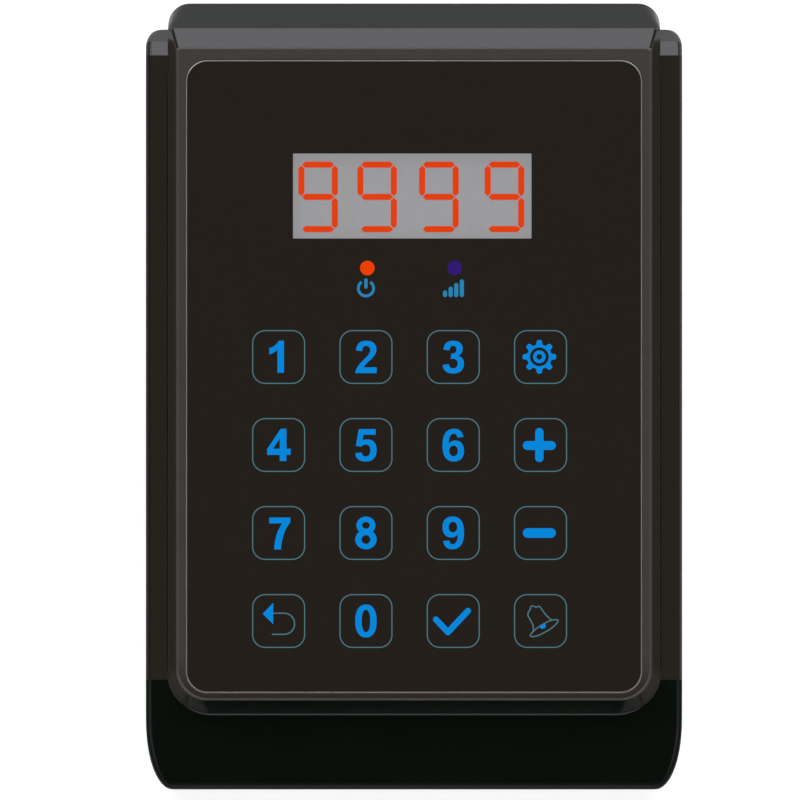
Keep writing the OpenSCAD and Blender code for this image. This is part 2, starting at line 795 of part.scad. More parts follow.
// A tube of radius r along a path that never runs along side
module tube(path, side, r, n) {
    last = len(path) - 1;
    skin([for (i = [0 : last])
        tube_ring(path[i], path[min(i + 1, last)] - path[max(i - 1, 0)], side, r, n)]);
}

module radio_antenna() color([0.8, 0.6, 0.2])
    under_board([radio_at[0] + radio_w / 2 + antenna_r + 1, radio_at[1]])
    tube([for (i = [0 : antenna_turns * antenna_steps])
        let (a = 360 * i / antenna_steps)
        [antenna_r * cos(a), (i / antenna_steps - antenna_turns / 2) * antenna_pitch,
            -antenna_r - antenna_wire_r + antenna_r * sin(a)]], [0, 1, 0], antenna_wire_r, antenna_sides);

buzzer_r = 6;
buzzer_h = 9;

module buzzer() color([0.1, 0.1, 0.1]) under_board(buzzer_at) difference() {
    translate([0, 0, -buzzer_h]) cylinder(r = buzzer_r, h = buzzer_h);
    translate([0, 0, -buzzer_h - cut]) cylinder(r = 1, h = 3 + cut);
}

module voltage_regulator() color([0.15, 0.15, 0.16]) under_board(regulator_at) {
    translate([-3.3, -3, -2.3]) cube([6.6, 6.1, 2.3]);
    translate([-2.7, 3, -0.6]) cube([5.4, 1.5, 0.6]);
    for (i = [-1, 1]) translate([i * 2.28 - 0.4, -5.6, -0.6]) cube([0.8, 2.8, 0.6]);
}

capacitor_r = 4;
capacitor_h = 10;

module filter_capacitor() color([0.1, 0.15, 0.4]) under_board(capacitor_at)
    translate([0, 0, -capacitor_h]) rotate_extrude() polygon([
        [0, 0], [capacitor_r - 0.4, 0], [capacitor_r, 0.4], [capacitor_r, capacitor_h - 2.4],
        [capacitor_r - 0.4, capacitor_h - 2], [capacitor_r, capacitor_h - 1.6],
        [capacitor_r, capacitor_h], [0, capacitor_h]
    ]);

connector_w = 7.5;
connector_l = 5.8;
connector_h = 7;

module lead_connector() color([0.95, 0.95, 0.9]) under_board(connector_at)
    translate([-connector_w / 2, -connector_l / 2, -connector_h])
    cube([connector_w, connector_l, connector_h]);

// ---- Power socket ----

module power_socket() color([0.1, 0.1, 0.1]) on_bay(socket_x) rotate_extrude()
    polygon([
        [0, -barrel_l], [barrel_r, -barrel_l], [barrel_r, 0], [socket_flange_r, 0],
        [socket_flange_r, socket_flange_t - 0.4], [socket_flange_r - 0.4, socket_flange_t],
        [socket_bore_r, socket_flange_t], [socket_bore_r, socket_flange_t - socket_depth],
        [0, socket_flange_t - socket_depth]
    ]);

module socket_pin() color("silver") on_bay(socket_x) translate([0, 0, socket_flange_t - socket_depth])
    rotate_extrude() {
        square([socket_pin_r, socket_depth - socket_pin_in - socket_pin_r]);
        translate([0, socket_depth - socket_pin_in - socket_pin_r]) intersection() {
            circle(r = socket_pin_r);
            square(socket_pin_r);
        }
    }

tag_w = 1.8;
tag_t = 0.5;
tag_l = 4;
tag_x = 2.2;

module socket_tags() color("silver") on_bay(socket_x) for (i = [-1, 1])
    translate([i * tag_x - tag_w / 2, -tag_t / 2, -barrel_l - tag_l]) cube([tag_w, tag_t, tag_l]);

module socket_nut() color("silver") on_bay(socket_x) translate([0, 0, -bay_wall - nut_t]) difference() {
    cylinder(r = nut_af / sqrt(3), h = nut_t, $fn = 6);
    translate([0, 0, -cut]) cylinder(r = barrel_r + lay_gap / 4, h = nut_t + 2 * cut);
}

// ---- Power switch ----

rocker_h = switch_h - 2 * switch_wall - 2 * rocker_gap;
well_half_w = switch_w / 2 - switch_wall;
stub_l = 1.2;
well_d = switch_flange_t + 7;

module switch_housing() color([0.06, 0.06, 0.06]) on_bay(switch_x) {
    difference() {
        union() {
            linear_extrude(switch_flange_t) round_rect(switch_flange_w, switch_flange_h, 0.8);
            translate([-switch_w / 2, -switch_h / 2, -switch_d]) cube([switch_w, switch_h, switch_d]);
        }
        translate([-well_half_w, switch_wall - switch_h / 2, switch_flange_t - well_d])
            cube([2 * well_half_w, switch_h - 2 * switch_wall, well_d + cut]);
    }
    for (j = [-1, 1]) translate([0, j * (switch_h / 2 - switch_wall), switch_flange_t - axle_d])
        rotate([j * 90, 0, 0]) translate([0, 0, -switch_wall / 2])
        cylinder(r = axle_r, h = stub_l + rocker_gap + switch_wall / 2);
}

// Half width that the rocker can have at the height y above its axle, to turn freely
function rocker_end(y) = (well_half_w - rocker_gap - y * sin(rocker_turn)) / cos(rocker_turn);

rocker_mid = axle_d + 0.2;
rocker_tip = rocker_mid + rocker_end(axle_d) * tan(rocker_turn);
hub_r = 2;

// The rocker as it leans with the power on, turned about its axle
module switch_rocker() color([0.09, 0.09, 0.09]) on_bay(switch_x)
    translate([0, 0, switch_flange_t - axle_d]) rotate([0, rocker_turn, 0])
    difference() {
        rotate([90, 0, 0]) translate([0, 0, -rocker_h / 2]) linear_extrude(rocker_h) {
            polygon([
                [-rocker_end(0), 0], [rocker_end(0), 0], [rocker_end(rocker_tip), rocker_tip],
                [0, rocker_mid], [-rocker_end(rocker_tip), rocker_tip]
            ]);
            circle(r = hub_r);
        }
        for (j = [-1, 1]) translate([0, j * rocker_h / 2, 0]) rotate([j * 90, 0, 0])
            translate([0, 0, -cut]) cylinder(r = axle_r + axle_gap, h = cut + stub_l + lay_gap);
    }

terminal_w = 0.8;
terminal_h = 4.6;
terminal_l = 6;
terminal_x = 3.6;

module switch_terminals() color([0.8, 0.65, 0.3]) on_bay(switch_x) for (i = [-1, 1])
    translate([i * terminal_x - terminal_w / 2, -terminal_h / 2, -switch_d - terminal_l])
    cube([terminal_w, terminal_h, terminal_l]);

// ---- Leads between the socket, the switch and the board ----

lead_r = 0.7;
lead_steps = 12;
lead_sides = 8;

// A point of the curve that leaves a towards a + da and arrives at b from b + db
function bend(a, da, db, b, t) =
    pow(1 - t, 3) * a + 3 * pow(1 - t, 2) * t * (a + da) + 3 * (1 - t) * t * t * (b + db)
        + t * t * t * b;

// A lead from a to b, straight at both ends, which never runs along side
module lead(a, da, db, b, side) {
    from = a + da / norm(da) * lead_r;
    to = b + db / norm(db) * lead_r;
    tube(concat([a], [for (i = [0 : lead_steps]) bend(from, da, db, to, i / lead_steps)], [b]),
        side, lead_r, lead_sides);
}

// Ends of the leads: behind the socket's tags and the switch's terminals, and at the connector
function tag_end(i) = [socket_x + i * tag_x, rear_y - bay_d - barrel_l - tag_l, bay_z];
function terminal_end(i) = [switch_x + i * terminal_x, rear_y - bay_d - switch_d - terminal_l, bay_z];
function connector_end(i) =
    [connector_at[0] + i * connector_w / 4, face_y(connector_at[1], board_back - connector_h),
        face_z(connector_at[1], board_back - connector_h)];

// How each lead leaves the rear wall's parts, and the connector
lead_out = [0, -8, 0];
lead_down = 8 * [0, sin(tilt), -cos(tilt)];

module power_leads() color([0.7, 0.1, 0.1]) {
    lead(tag_end(-1), lead_out, lead_out, terminal_end(1), [0, 0, 1]);
    lead(terminal_end(-1), lead_out, lead_down, connector_end(-1), [1, 0, 0]);
    lead(tag_end(1), lead_out, lead_down, connector_end(1), [1, 0, 0]);
}

// ---- Housing screws and feet ----

module housing_screws() color("silver") for (p = housing_points)
    translate([p[0], p[1], post_foot - head_seat_t])
    pan_screw(housing_pilot_r - lay_gap / 4, housing_screw_l, housing_head_r, housing_head_h);

foot_taper = 0.4;

module rubber_feet() color([0.15, 0.15, 0.15]) for (p = foot_points) translate([p[0], p[1], 0])
    rotate_extrude()
    polygon([[0, 0], [foot_r - foot_taper, 0], [foot_r, foot_taper], [foot_r, foot_proud + foot_seat],
        [0, foot_proud + foot_seat]]);

top_shell();
bottom_cover();
touch_panel();
panel_adhesive();
light_frame();
touch_sleeves();
backlight_lamps();
display_module();
display_segments();
display_pins();
power_led();
signal_led();
circuit_board();
board_screws();
touch_controller();
main_controller();
radio_module();
radio_antenna();
buzzer();
voltage_regulator();
filter_capacitor();
lead_connector();
power_leads();
power_socket();
socket_pin();
socket_tags();
socket_nut();
switch_housing();
switch_rocker();
switch_terminals();
housing_screws();
rubber_feet();
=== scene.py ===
"""The looks of a keypad console that calls guest pagers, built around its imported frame.

The console has a raised, drafted pod between two low wings, a flat touch panel with backlit
legends, a four-digit display behind a clear window, and a rear bay with a power socket and a
rocker switch. Sizes are in millimetres and are turned into metres where meshes are made.
"""

from __future__ import annotations

import logging
import math
from collections.abc import Iterator
from contextlib import contextmanager
from dataclasses import dataclass, field, replace
from enum import Enum
from typing import Any

import bmesh
import bpy
from mathutils import Matrix, Vector
from mathutils.geometry import delaunay_2d_cdt

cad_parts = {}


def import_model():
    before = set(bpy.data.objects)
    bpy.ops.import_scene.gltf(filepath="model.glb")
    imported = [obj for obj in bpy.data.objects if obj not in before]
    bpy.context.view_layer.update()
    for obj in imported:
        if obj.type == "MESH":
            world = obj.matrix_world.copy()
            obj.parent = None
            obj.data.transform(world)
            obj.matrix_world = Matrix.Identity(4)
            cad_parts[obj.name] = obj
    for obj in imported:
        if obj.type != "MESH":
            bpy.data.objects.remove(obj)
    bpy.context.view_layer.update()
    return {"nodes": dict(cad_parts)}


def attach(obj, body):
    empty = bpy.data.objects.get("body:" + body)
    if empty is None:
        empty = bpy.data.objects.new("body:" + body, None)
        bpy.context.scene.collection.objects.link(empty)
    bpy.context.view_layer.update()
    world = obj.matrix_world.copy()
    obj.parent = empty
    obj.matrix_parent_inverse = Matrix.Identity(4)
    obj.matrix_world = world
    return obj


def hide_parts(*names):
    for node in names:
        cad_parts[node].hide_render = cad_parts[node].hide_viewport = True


LOG = logging.getLogger("pager_console")
MM = 0.001

Colour = tuple[float, float, float]
Point2 = tuple[float, float]
Point3 = tuple[float, float, float]
Outline = list[Point2]
Points = list[Point3]
Faces = list[tuple[int, ...]]
Piece = bpy.types.Object
Material = bpy.types.Material
Tree = bpy.types.NodeTree
Socket = bpy.types.NodeSocket


def shade(red: float, green: float, blue: float) -> Colour:
    """The linear colour of an sRGB shade, each part of which is given from 0 to 255."""
    parts = (part / 255 for part in (red, green, blue))
    return tuple(c / 12.92 if c <= 0.04045 else ((c + 0.055) / 1.055) ** 2.4 for c in parts)


def solid(colour: Colour, gain: float = 1.0) -> tuple[float, ...]:
    """An opaque colour, lightened or darkened by a gain."""
    return (*(min(1.0, part * gain) for part in colour), 1.0)


# ---- Node trees and shared surface effects ----


class Sum(Enum):
    """The sums that the node trees use."""

    PLUS = "ADD"
    LESS = "SUBTRACT"
    TIMES = "MULTIPLY"
    LARGER = "MAXIMUM"
    SIZE = "ABSOLUTE"


class Effect(Enum):
    """The effects that more than one finish uses, each a shader node group."""

    GRAIN = "moulded_grain"
    RUBBED = "rubbed_hairlines"
    DUST = "settled_dust"


@dataclass(frozen=True)
class Graph:
    """A node tree, and the ways in which its nodes are placed and joined."""

    tree: Tree

    def feed(self, node: bpy.types.Node, values: dict[str | int, Any]) -> None:
        """Links a node's inputs to sockets, and sets those that get plain values.

        Args:
            node: The node.
            values: The socket or the plain value of each input.
        """
        for name, value in values.items():
            if isinstance(value, Socket):
                self.tree.links.new(value, node.inputs[name])
            else:
                node.inputs[name].default_value = value

    def add(
        self, kind: str, out: str, values: dict[str | int, Any] | None = None, **settings: Any
    ) -> Socket:
        """Adds a node.

        Args:
            kind: Its type, without the leading words.
            out: The output that is wanted.
            values: What its inputs get.
            settings: Its options.

        Returns:
            The output.
        """
        node = self.tree.nodes.new(f"ShaderNode{kind}")
        for name, value in settings.items():
            setattr(node, name, value)
        self.feed(node, values or {})
        return node.outputs[out]

    def sum(self, how: Sum, *terms: Any) -> Socket:
        """A sum of one or two terms."""
        return self.add("Math", "Value", dict(enumerate(terms)), operation=how.value)

    def axis(self, vector: Socket, name: str) -> Socket:
        """One part of a vector."""
        return self.add("SeparateXYZ", name, {"Vector": vector})

    def ramp(
        self, value: Socket, span: Point2 = (0.0, 1.0), to: Point2 = (0.0, 1.0), soft: bool = False
    ) -> Socket:
        """Turns a span of a value into another, and clamps it there.

        Args:
            value: The value.
            span: Where the change starts and ends.
            to: What comes out at the start and at the end.
            soft: Whether the change eases in and out.

        Returns:
            The changed value.
        """
        ends = {"From Min": span[0], "From Max": span[1], "To Min": to[0], "To Max": to[1]}
        easing = "SMOOTHSTEP" if soft else "LINEAR"
        return self.add("MapRange", "Result", {"Value": value, **ends}, interpolation_type=easing)

    def mixed(self, share: Socket, a: Any, b: Any) -> Socket:
        """A colour between a and b."""
        return self.add("Mix", "Result", {"Factor": share, "A": a, "B": b}, data_type="RGBA")

    def noise(self, place: Socket, scale: Socket, detail: float, rough: float = 0.5) -> Socket:
        """Soft noise at a place."""
        values = {"Vector": place, "Scale": scale, "Detail": detail, "Roughness": rough}
        return self.add("TexNoise", "Fac", values)

    def effect(self, effect: Effect, out: str, **values: float) -> Socket:
        """One output of a shared effect, which is placed with its own values."""
        given = {name.replace("_", " "): value for name, value in values.items()}
        return self.add("Group", out, given, node_tree=EFFECTS.group(effect))


class EffectLibrary:
    """Builds each effect's node group once, and hands it to the finishes."""

    def group(self, effect: Effect) -> Tree:
        """The node group of an effect.

        Args:
            effect: Which effect.

        Returns:
            Its node group, built on the first call.
        """
        made = bpy.data.node_groups.get(effect.value)
        if made:
            return made
        inputs, outputs, build = {
            Effect.GRAIN: (
                {"Scale": 1500.0, "Drift Scale": 60.0}, ("Tone", "Height"), self._grain
            ),
            Effect.RUBBED: ({"Scale": 900.0, "Stretch": 0.04}, ("Mask",), self._rubbed),
            Effect.DUST: ({"Scale": 700.0}, ("Mask",), self._dust),
        }[effect]
        tree = bpy.data.node_groups.new(effect.value, "ShaderNodeTree")
        for name, default in inputs.items():
            socket = tree.interface.new_socket(name, in_out="INPUT", socket_type="NodeSocketFloat")
            socket.default_value = default
        for name in outputs:
            tree.interface.new_socket(name, in_out="OUTPUT", socket_type="NodeSocketFloat")
        graph = Graph(tree)
        given = tree.nodes.new("NodeGroupInput").outputs
        made = build(graph, given, graph.add("TexCoord", "Object"))
        graph.feed(tree.nodes.new("NodeGroupOutput"), dict(zip(outputs, made)))
        return tree

    @staticmethod
    def _grain(graph: Graph, given: Any, place: Socket) -> tuple[Socket, ...]:
        """Fine grain of a moulded or cast surface, with slow drifts of tone over it.

        Args:
            graph: The group's nodes.
            given: What the group is given.
            place: The place on the object.

        Returns:
            The tone and the height.
        """
        fine = graph.noise(place, given["Scale"], 4.0)
        drift = graph.noise(place, given["Drift Scale"], 2.0)
        return graph.add("Mix", "Result", {"Factor": 0.6, "A": fine, "B": drift}), fine

    @staticmethod
    def _rubbed(graph: Graph, given: Any, place: Socket) -> tuple[Socket, ...]:
        """Faint hairlines that cloths and sleeves leave along one direction.

        Args:
            graph: The group's nodes.
            given: What the group is given.
            place: The place on the object.

        Returns:
            The mask.
        """
        parts = {name: graph.axis(place, name) for name in "XYZ"}
        parts["Y"] = graph.sum(Sum.TIMES, parts["Y"], given["Stretch"])
        lines = graph.noise(graph.add("CombineXYZ", "Vector", parts), given["Scale"], 3.0)
        return (graph.ramp(lines, (0.56, 0.72)),)

    @staticmethod
    def _dust(graph: Graph, given: Any, place: Socket) -> tuple[Socket, ...]:
        """Specks of dust on what faces up.

        Args:
            graph: The group's nodes.
            given: What the group is given.
            place: The place on the object.

        Returns:
            The mask.
        """
        specks = graph.ramp(graph.noise(place, given["Scale"], 6.0, 0.7), (0.62, 0.8))
        up = graph.sum(Sum.LARGER, graph.axis(graph.add("NewGeometry", "Normal"), "Z"), 0.0)
        return (graph.sum(Sum.TIMES, specks, up),)


EFFECTS = EffectLibrary()


# ---- Finishes ----


def new_material(name: str) -> tuple[Material, Graph, Any]:
    """Starts a material.

    Args:
        name: The material's name.

    Returns:
        The material, its graph and its nodes.
    """
    material = bpy.data.materials.new(name)
    material.use_nodes = True
    return material, Graph(material.node_tree), material.node_tree.nodes


@dataclass(frozen=True)
class Finish:
    """An opaque finish: its colour and gloss, how much they vary, and any painted sheen and shade.
    """

    name: str
    colour: Colour
    roughness: float
    mottle: float = 0.12
    roughness_drift: float = 0.06
    grain_scale: float = 1500.0
    grain_height: float = 0.0
    metallic: float = 0.0
    specular: float = 0.5
    coat: float = 0.0
    coat_roughness: float = 0.05
    rubbed: float = 0.0
    dust: float = 0.0
    dust_colour: Colour = (0.3, 0.28, 0.25)
    glow: Colour | None = None
    # painted sheen: a lighter colour mixed in where the surface faces sideways
    flank: Colour | None = None
    flank_span: Point2 = (0.2, 0.75)
    # painted shade: a colour mixed in towards the front
    front: Colour | None = None
    front_span: Point2 = (0.052, 0.062)

    def material(self) -> Material:
        """The finish's material, built on the first call."""
        return bpy.data.materials.get(self.name) or self._build()

    def _build(self) -> Material:
        """Builds the material from the shared effects.

        Returns:
            The material.
        """
        material, graph, nodes = new_material(self.name)
        material.diffuse_color = solid(self.colour)
        grain = graph.effect(Effect.GRAIN, "Tone", Scale=self.grain_scale)
        drift = self.roughness_drift
        rough = graph.ramp(
            grain, to=(max(0.0, self.roughness - drift), min(1.0, self.roughness + drift))
        )
        colour = self._placed(graph, graph.mixed(
            grain, solid(self.colour, 1 - self.mottle), solid(self.colour, 1 + self.mottle)
        ))
        if self.rubbed:
            lines = graph.sum(Sum.TIMES, graph.effect(Effect.RUBBED, "Mask"), self.rubbed)
            lighter = solid(tuple(part * 2 + 0.01 for part in self.colour))
            colour, rough = graph.mixed(lines, colour, lighter), graph.sum(Sum.PLUS, rough, lines)
        if self.dust:
            specks = graph.sum(Sum.TIMES, graph.effect(Effect.DUST, "Mask"), self.dust)
            colour = graph.mixed(specks, colour, solid(self.dust_colour))
        values = {
            "Base Color": colour, "Roughness": rough, "Metallic": self.metallic,
            "Specular IOR Level": self.specular, "Coat Weight": self.coat,
            "Coat Roughness": self.coat_roughness,
        }
        if self.grain_height:
            bump = {"Height": grain.node.outputs["Height"], "Distance": self.grain_height * MM}
            values["Normal"] = graph.add("Bump", "Normal", {"Strength": 1.0, **bump})
        if self.glow:
            values |= {"Emission Color": solid(self.glow), "Emission Strength": 1.0}
        graph.feed(nodes["Principled BSDF"], values)
        return material

    def _placed(self, graph: Graph, colour: Socket) -> Socket:
        """Paints sheen where the surface faces sideways, and shade towards the front.

        Args:
            graph: The material's nodes.
            colour: The colour so far.

        Returns:
            The changed colour.
        """
        # painted sheen where the surface faces sideways
        if self.flank:
            lean = graph.axis(graph.add("NewGeometry", "Normal"), "X")
            share = graph.ramp(graph.sum(Sum.SIZE, lean), self.flank_span, soft=True)
            colour = graph.mixed(share, colour, solid(self.flank))
        # painted shade towards the front
        if self.front:
            back = graph.axis(graph.add("TexCoord", "Object"), "Y")
            share = graph.ramp(graph.sum(Sum.TIMES, back, -1.0), self.front_span, soft=True)
            colour = graph.mixed(share, colour, solid(self.front))
        return colour


@dataclass(frozen=True)
class ClearSheet:
    """A clear, polished window: what is behind it shows, under a faint reflection."""

    name: str
    tint: Colour = (0.98, 0.98, 0.98)
    ior: float = 1.3
    roughness: float = 0.03
    grain_scale: float = 300.0

    def material(self) -> Material:
        """The window's material, built on the first call."""
        return bpy.data.materials.get(self.name) or self._build()

    def _build(self) -> Material:
        """Builds the material: clear film and gloss, mixed by the Fresnel reflection.

        Returns:
            The material.
        """
        material, graph, nodes = new_material(self.name)
        nodes.remove(nodes["Principled BSDF"])
        grain = graph.effect(Effect.GRAIN, "Tone", Scale=self.grain_scale)
        polish = graph.ramp(grain, to=(self.roughness, 2 * self.roughness))
        clear = graph.add("BsdfTransparent", "BSDF", {"Color": solid(self.tint)})
        gloss = graph.add("BsdfGlossy", "BSDF", {"Roughness": polish})
        front = graph.sum(Sum.LESS, 1.0, graph.add("NewGeometry", "Backfacing"))
        share = graph.sum(Sum.TIMES, graph.add("Fresnel", "Fac", {"IOR": self.ior}), front)
        sheet = graph.add("MixShader", "Shader", {"Fac": share, 1: clear, 2: gloss})
        graph.feed(nodes["Material Output"], {"Surface": sheet})
        return material


GLOSS_HOUSING = Finish(
    "gloss_black_housing", shade(13, 19, 14), 0.08, mottle=0.2, roughness_drift=0.03,
    grain_scale=900.0, grain_height=0.001, specular=0.4, rubbed=0.04, dust=0.02,
)
# painted sheen: the housing's gloss with a lighter colour mixed in where the pod's walls and the
# left wing's edge face sideways
SIDE_SHEEN = replace(GLOSS_HOUSING, name="painted_side_sheen", specular=0.24, flank=shade(54, 50, 46))
# painted highlight: a lighter colour mixed in on the rounding of the right wing's outer edge
WING_EDGE_HIGHLIGHT = replace(GLOSS_HOUSING, name="wing_edge_painted_highlight", flank=shade(66, 62, 58))
CHIN_EDGE = replace(GLOSS_HOUSING, name="dull_chin_edge", roughness=0.22, specular=0.12)
# the land round the panel: its satin roughness is real; its lighter colour is painted sheen, and
# its front colour is painted shade that darkens it towards the front
SATIN_RIM_SHEEN_SHADE = Finish(
    "satin_rim_painted_sheen_and_shade", shade(52, 51, 50), 0.25, mottle=0.1, roughness_drift=0.04,
    grain_scale=1200.0, grain_height=0.002, dust=0.03, front=shade(24, 18, 17),
)
MATT_COVER = Finish(
    "matt_black_cover", shade(18, 19, 18), 0.62, mottle=0.2, grain_scale=1800.0,
    grain_height=0.03, specular=0.25, rubbed=0.1, dust=0.04,
)
PANEL_PRINT = Finish(
    "back_printed_panel", shade(22, 20, 17), 0.08, mottle=0.05, roughness_drift=0.02,
    grain_scale=500.0, specular=0.25, rubbed=0.02, dust=0.01,
)
# painted highlight: a lighter colour on the rounding round the land, for the light line along its
# outer edge
RIM_EDGE_HIGHLIGHT = replace(
    SATIN_RIM_SHEEN_SHADE, name="rim_edge_painted_highlight", colour=shade(66, 63, 63), roughness=0.3, front=None
)
# painted highlight: a light colour on the panel's bevelled edge, for the bright hairline it catches
PANEL_EDGE_HIGHLIGHT = Finish(
    "panel_edge_painted_highlight", shade(128, 125, 122), 0.2, mottle=0.05, roughness_drift=0.03,
)
WINDOW = ClearSheet("clear_display_window")
LEGEND_BRIGHT = Finish(
    "lit_blue_legend", shade(0, 42, 80), 0.12, mottle=0.05, roughness_drift=0.02,
    specular=0.06, glow=shade(0, 127, 205),
)
LEGEND_ICON = Finish(
    "lit_blue_icon", shade(12, 50, 70), 0.12, mottle=0.05, roughness_drift=0.02,
    specular=0.08, glow=shade(34, 120, 164),
)
LEGEND_FRAME = Finish(
    "dim_blue_key_frame", shade(30, 42, 48), 0.12, mottle=0.05, roughness_drift=0.02,
    specular=0.08, glow=shade(70, 112, 124),
)
LIT_SEGMENT = Finish(
    "lit_orange_segment", shade(60, 10, 0), 0.4, mottle=0.04, specular=0.05,
    glow=shade(224, 60, 0),
)
# the display face and its unlit bars glow, though they are no lamps: painted light that lifts the
# grey face against the shade of its recess
DISPLAY_GREY_PAINTED_GLOW = Finish(
    "display_face_painted_glow", shade(66, 67, 70), 0.55, mottle=0.03, glow=shade(142, 142, 145)
)
UNLIT_SEGMENT_PAINTED_GLOW = Finish(
    "unlit_segment_painted_glow", shade(70, 70, 73), 0.5, mottle=0.03, glow=shade(142, 142, 145)
)
LAMP_ORANGE = Finish(
    "lit_orange_lamp", shade(60, 10, 0), 0.25, mottle=0.06, specular=0.08,
    glow=shade(228, 60, 0),
)
LAMP_VIOLET = Finish(
    "dim_violet_lamp", shade(24, 11, 60), 0.25, mottle=0.06, specular=0.08,
    glow=shade(38, 15, 98),
)
FOOT_RUBBER = Finish(
    "foot_rubber", shade(34, 34, 35), 0.8, mottle=0.25, grain_scale=2500.0,
    grain_height=0.04, dust=0.15,
)
SOCKET_BLACK = Finish(
    "socket_black_nylon", shade(24, 24, 25), 0.42, mottle=0.15, grain_height=0.01, rubbed=0.1
)
SWITCH_BLACK = Finish(
    "switch_black_nylon", shade(22, 22, 23), 0.45, mottle=0.15, grain_height=0.012, rubbed=0.1
)
ROCKER_BLACK = Finish(
    "rocker_black_gloss", shade(20, 20, 21), 0.22, mottle=0.15, grain_height=0.004, rubbed=0.12
)
SIGN_WHITE = Finish("switch_sign_white", shade(225, 225, 222), 0.5, mottle=0.04)
NICKEL = Finish(
    "bright_nickel", shade(196, 192, 184), 0.2, mottle=0.08, metallic=1.0, rubbed=0.15
)
TINNED_STEEL = Finish(
    "tinned_steel", shade(172, 172, 170), 0.34, mottle=0.12, metallic=1.0, rubbed=0.2
)
BRASS = Finish("contact_brass", shade(202, 160, 92), 0.3, mottle=0.12, metallic=1.0, rubbed=0.15)
SCREW_STEEL = Finish(
    "zinc_screw", shade(150, 150, 152), 0.32, mottle=0.15, metallic=1.0, rubbed=0.25
)
ADHESIVE = Finish("adhesive_foam", shade(52, 52, 52), 0.85, mottle=0.2, grain_height=0.05)
LIGHT_WHITE = Finish("light_frame_white", shade(232, 232, 228), 0.5, mottle=0.04)
SLEEVE_RUBBER = Finish("conductive_rubber", shade(58, 58, 62), 0.75, mottle=0.18)
LAMP_CHIP = Finish("lamp_chip_yellow", shade(226, 206, 120), 0.35, mottle=0.08)
BOARD_GREEN = Finish(
    "solder_mask_green", shade(18, 92, 48), 0.3, mottle=0.25, grain_scale=350.0, coat=0.4
)
CHIP_BLACK = Finish("chip_epoxy_black", shade(30, 30, 32), 0.6, mottle=0.2, grain_height=0.02)
MODULE_BLUE = Finish("radio_board_blue", shade(22, 56, 118), 0.3, mottle=0.2, grain_scale=350.0)
SPRING_WIRE = Finish("antenna_copper", shade(196, 132, 78), 0.28, mottle=0.12, metallic=1.0)
BUZZER_BLACK = Finish("buzzer_black", shade(28, 28, 28), 0.4, mottle=0.15, grain_height=0.01)
CAPACITOR_SLEEVE = Finish("capacitor_sleeve_blue", shade(28, 42, 110), 0.28, mottle=0.12)
CONNECTOR_WHITE = Finish("connector_nylon", shade(232, 228, 210), 0.45, mottle=0.05)
LEAD_RED = Finish("lead_insulation_red", shade(168, 28, 26), 0.4, mottle=0.1)

# Finish of each carried-over node that the frame already shapes well
NODE_FINISHES: dict[str, Finish] = {
    "top_shell": GLOSS_HOUSING,
    "bottom_cover": MATT_COVER,
    "touch_panel": PANEL_PRINT,
    "panel_adhesive": ADHESIVE,
    "light_frame": LIGHT_WHITE,
    "touch_sleeves": SLEEVE_RUBBER,
    "backlight_lamps": LAMP_CHIP,
    "display_module": DISPLAY_GREY_PAINTED_GLOW,
    "display_segments": LIT_SEGMENT,
    "display_pins": TINNED_STEEL,
    "power_led": LAMP_ORANGE,
    "signal_led": LAMP_VIOLET,
    "circuit_board": BOARD_GREEN,
    "board_screws": TINNED_STEEL,
    "touch_controller": CHIP_BLACK,
    "main_controller": CHIP_BLACK,
    "radio_module": MODULE_BLUE,
    "radio_antenna": SPRING_WIRE,
    "buzzer": BUZZER_BLACK,
    "voltage_regulator": CHIP_BLACK,
    "filter_capacitor": CAPACITOR_SLEEVE,
    "lead_connector": CONNECTOR_WHITE,
    "power_leads": LEAD_RED,
    "power_socket": SOCKET_BLACK,
    "socket_pin": NICKEL,
    "socket_tags": TINNED_STEEL,
    "socket_nut": NICKEL,
    "switch_housing": SWITCH_BLACK,
    "switch_rocker": ROCKER_BLACK,
    "switch_terminals": BRASS,
    "housing_screws": SCREW_STEEL,
    "rubber_feet": FOOT_RUBBER,
}


# ---- Mesh making ----


class Combine(Enum):
    """How one solid changes another."""

    ADD = "UNION"
    CUT = "DIFFERENCE"


@contextmanager
def editing(mesh: bpy.types.Mesh) -> Iterator[bmesh.types.BMesh]:
    """Opens a mesh to change it, and writes the changes back.

    Args:
        mesh: The mesh.

    Yields:
        Its editable form.
    """
    build = bmesh.new()
    build.from_mesh(mesh)
    yield build
    build.to_mesh(mesh)
    build.free()


def placed(name: str, data: bpy.types.ID) -> Piece:
    """A new object in the scene.

    Args:
        name: Its name.
        data: Its mesh, lamp or camera.

    Returns:
        The object.
    """
    made = bpy.data.objects.new(name, data)
    bpy.context.scene.collection.objects.link(made)
    return made


def mesh_piece(name: str, points: Points, faces: Faces) -> Piece:
    """A mesh object from points in millimetres.

    Args:
        name: The piece's name.
        points: Its points, in millimetres.
        faces: Its faces, as point numbers.

    Returns:
        The object, linked to the scene, with its normals out.
    """
    mesh = bpy.data.meshes.new(name)
    mesh.from_pydata([Vector(p) * MM for p in points], [], faces)
    with editing(mesh) as build:
        bmesh.ops.recalc_face_normals(build, faces=build.faces)
    return placed(name, mesh)


def loft(name: str, rings: list[Points]) -> Piece:
    """A closed skin through rings that have as many points each.

    Args:
        name: The piece's name.
        rings: The rings, from one end to the other.

    Returns:
        The object.
    """
    count = len(rings[0])
    faces: Faces = [tuple(range(count))]
    for start in range(0, (len(rings) - 1) * count, count):
        for i in range(count):
            a, b = start + i, start + (i + 1) % count
            faces.append((a, b, b + count, a + count))
    faces.append(tuple((len(rings) - 1) * count + i for i in range(count)))
    return mesh_piece(name, [p for ring in rings for p in ring], faces)


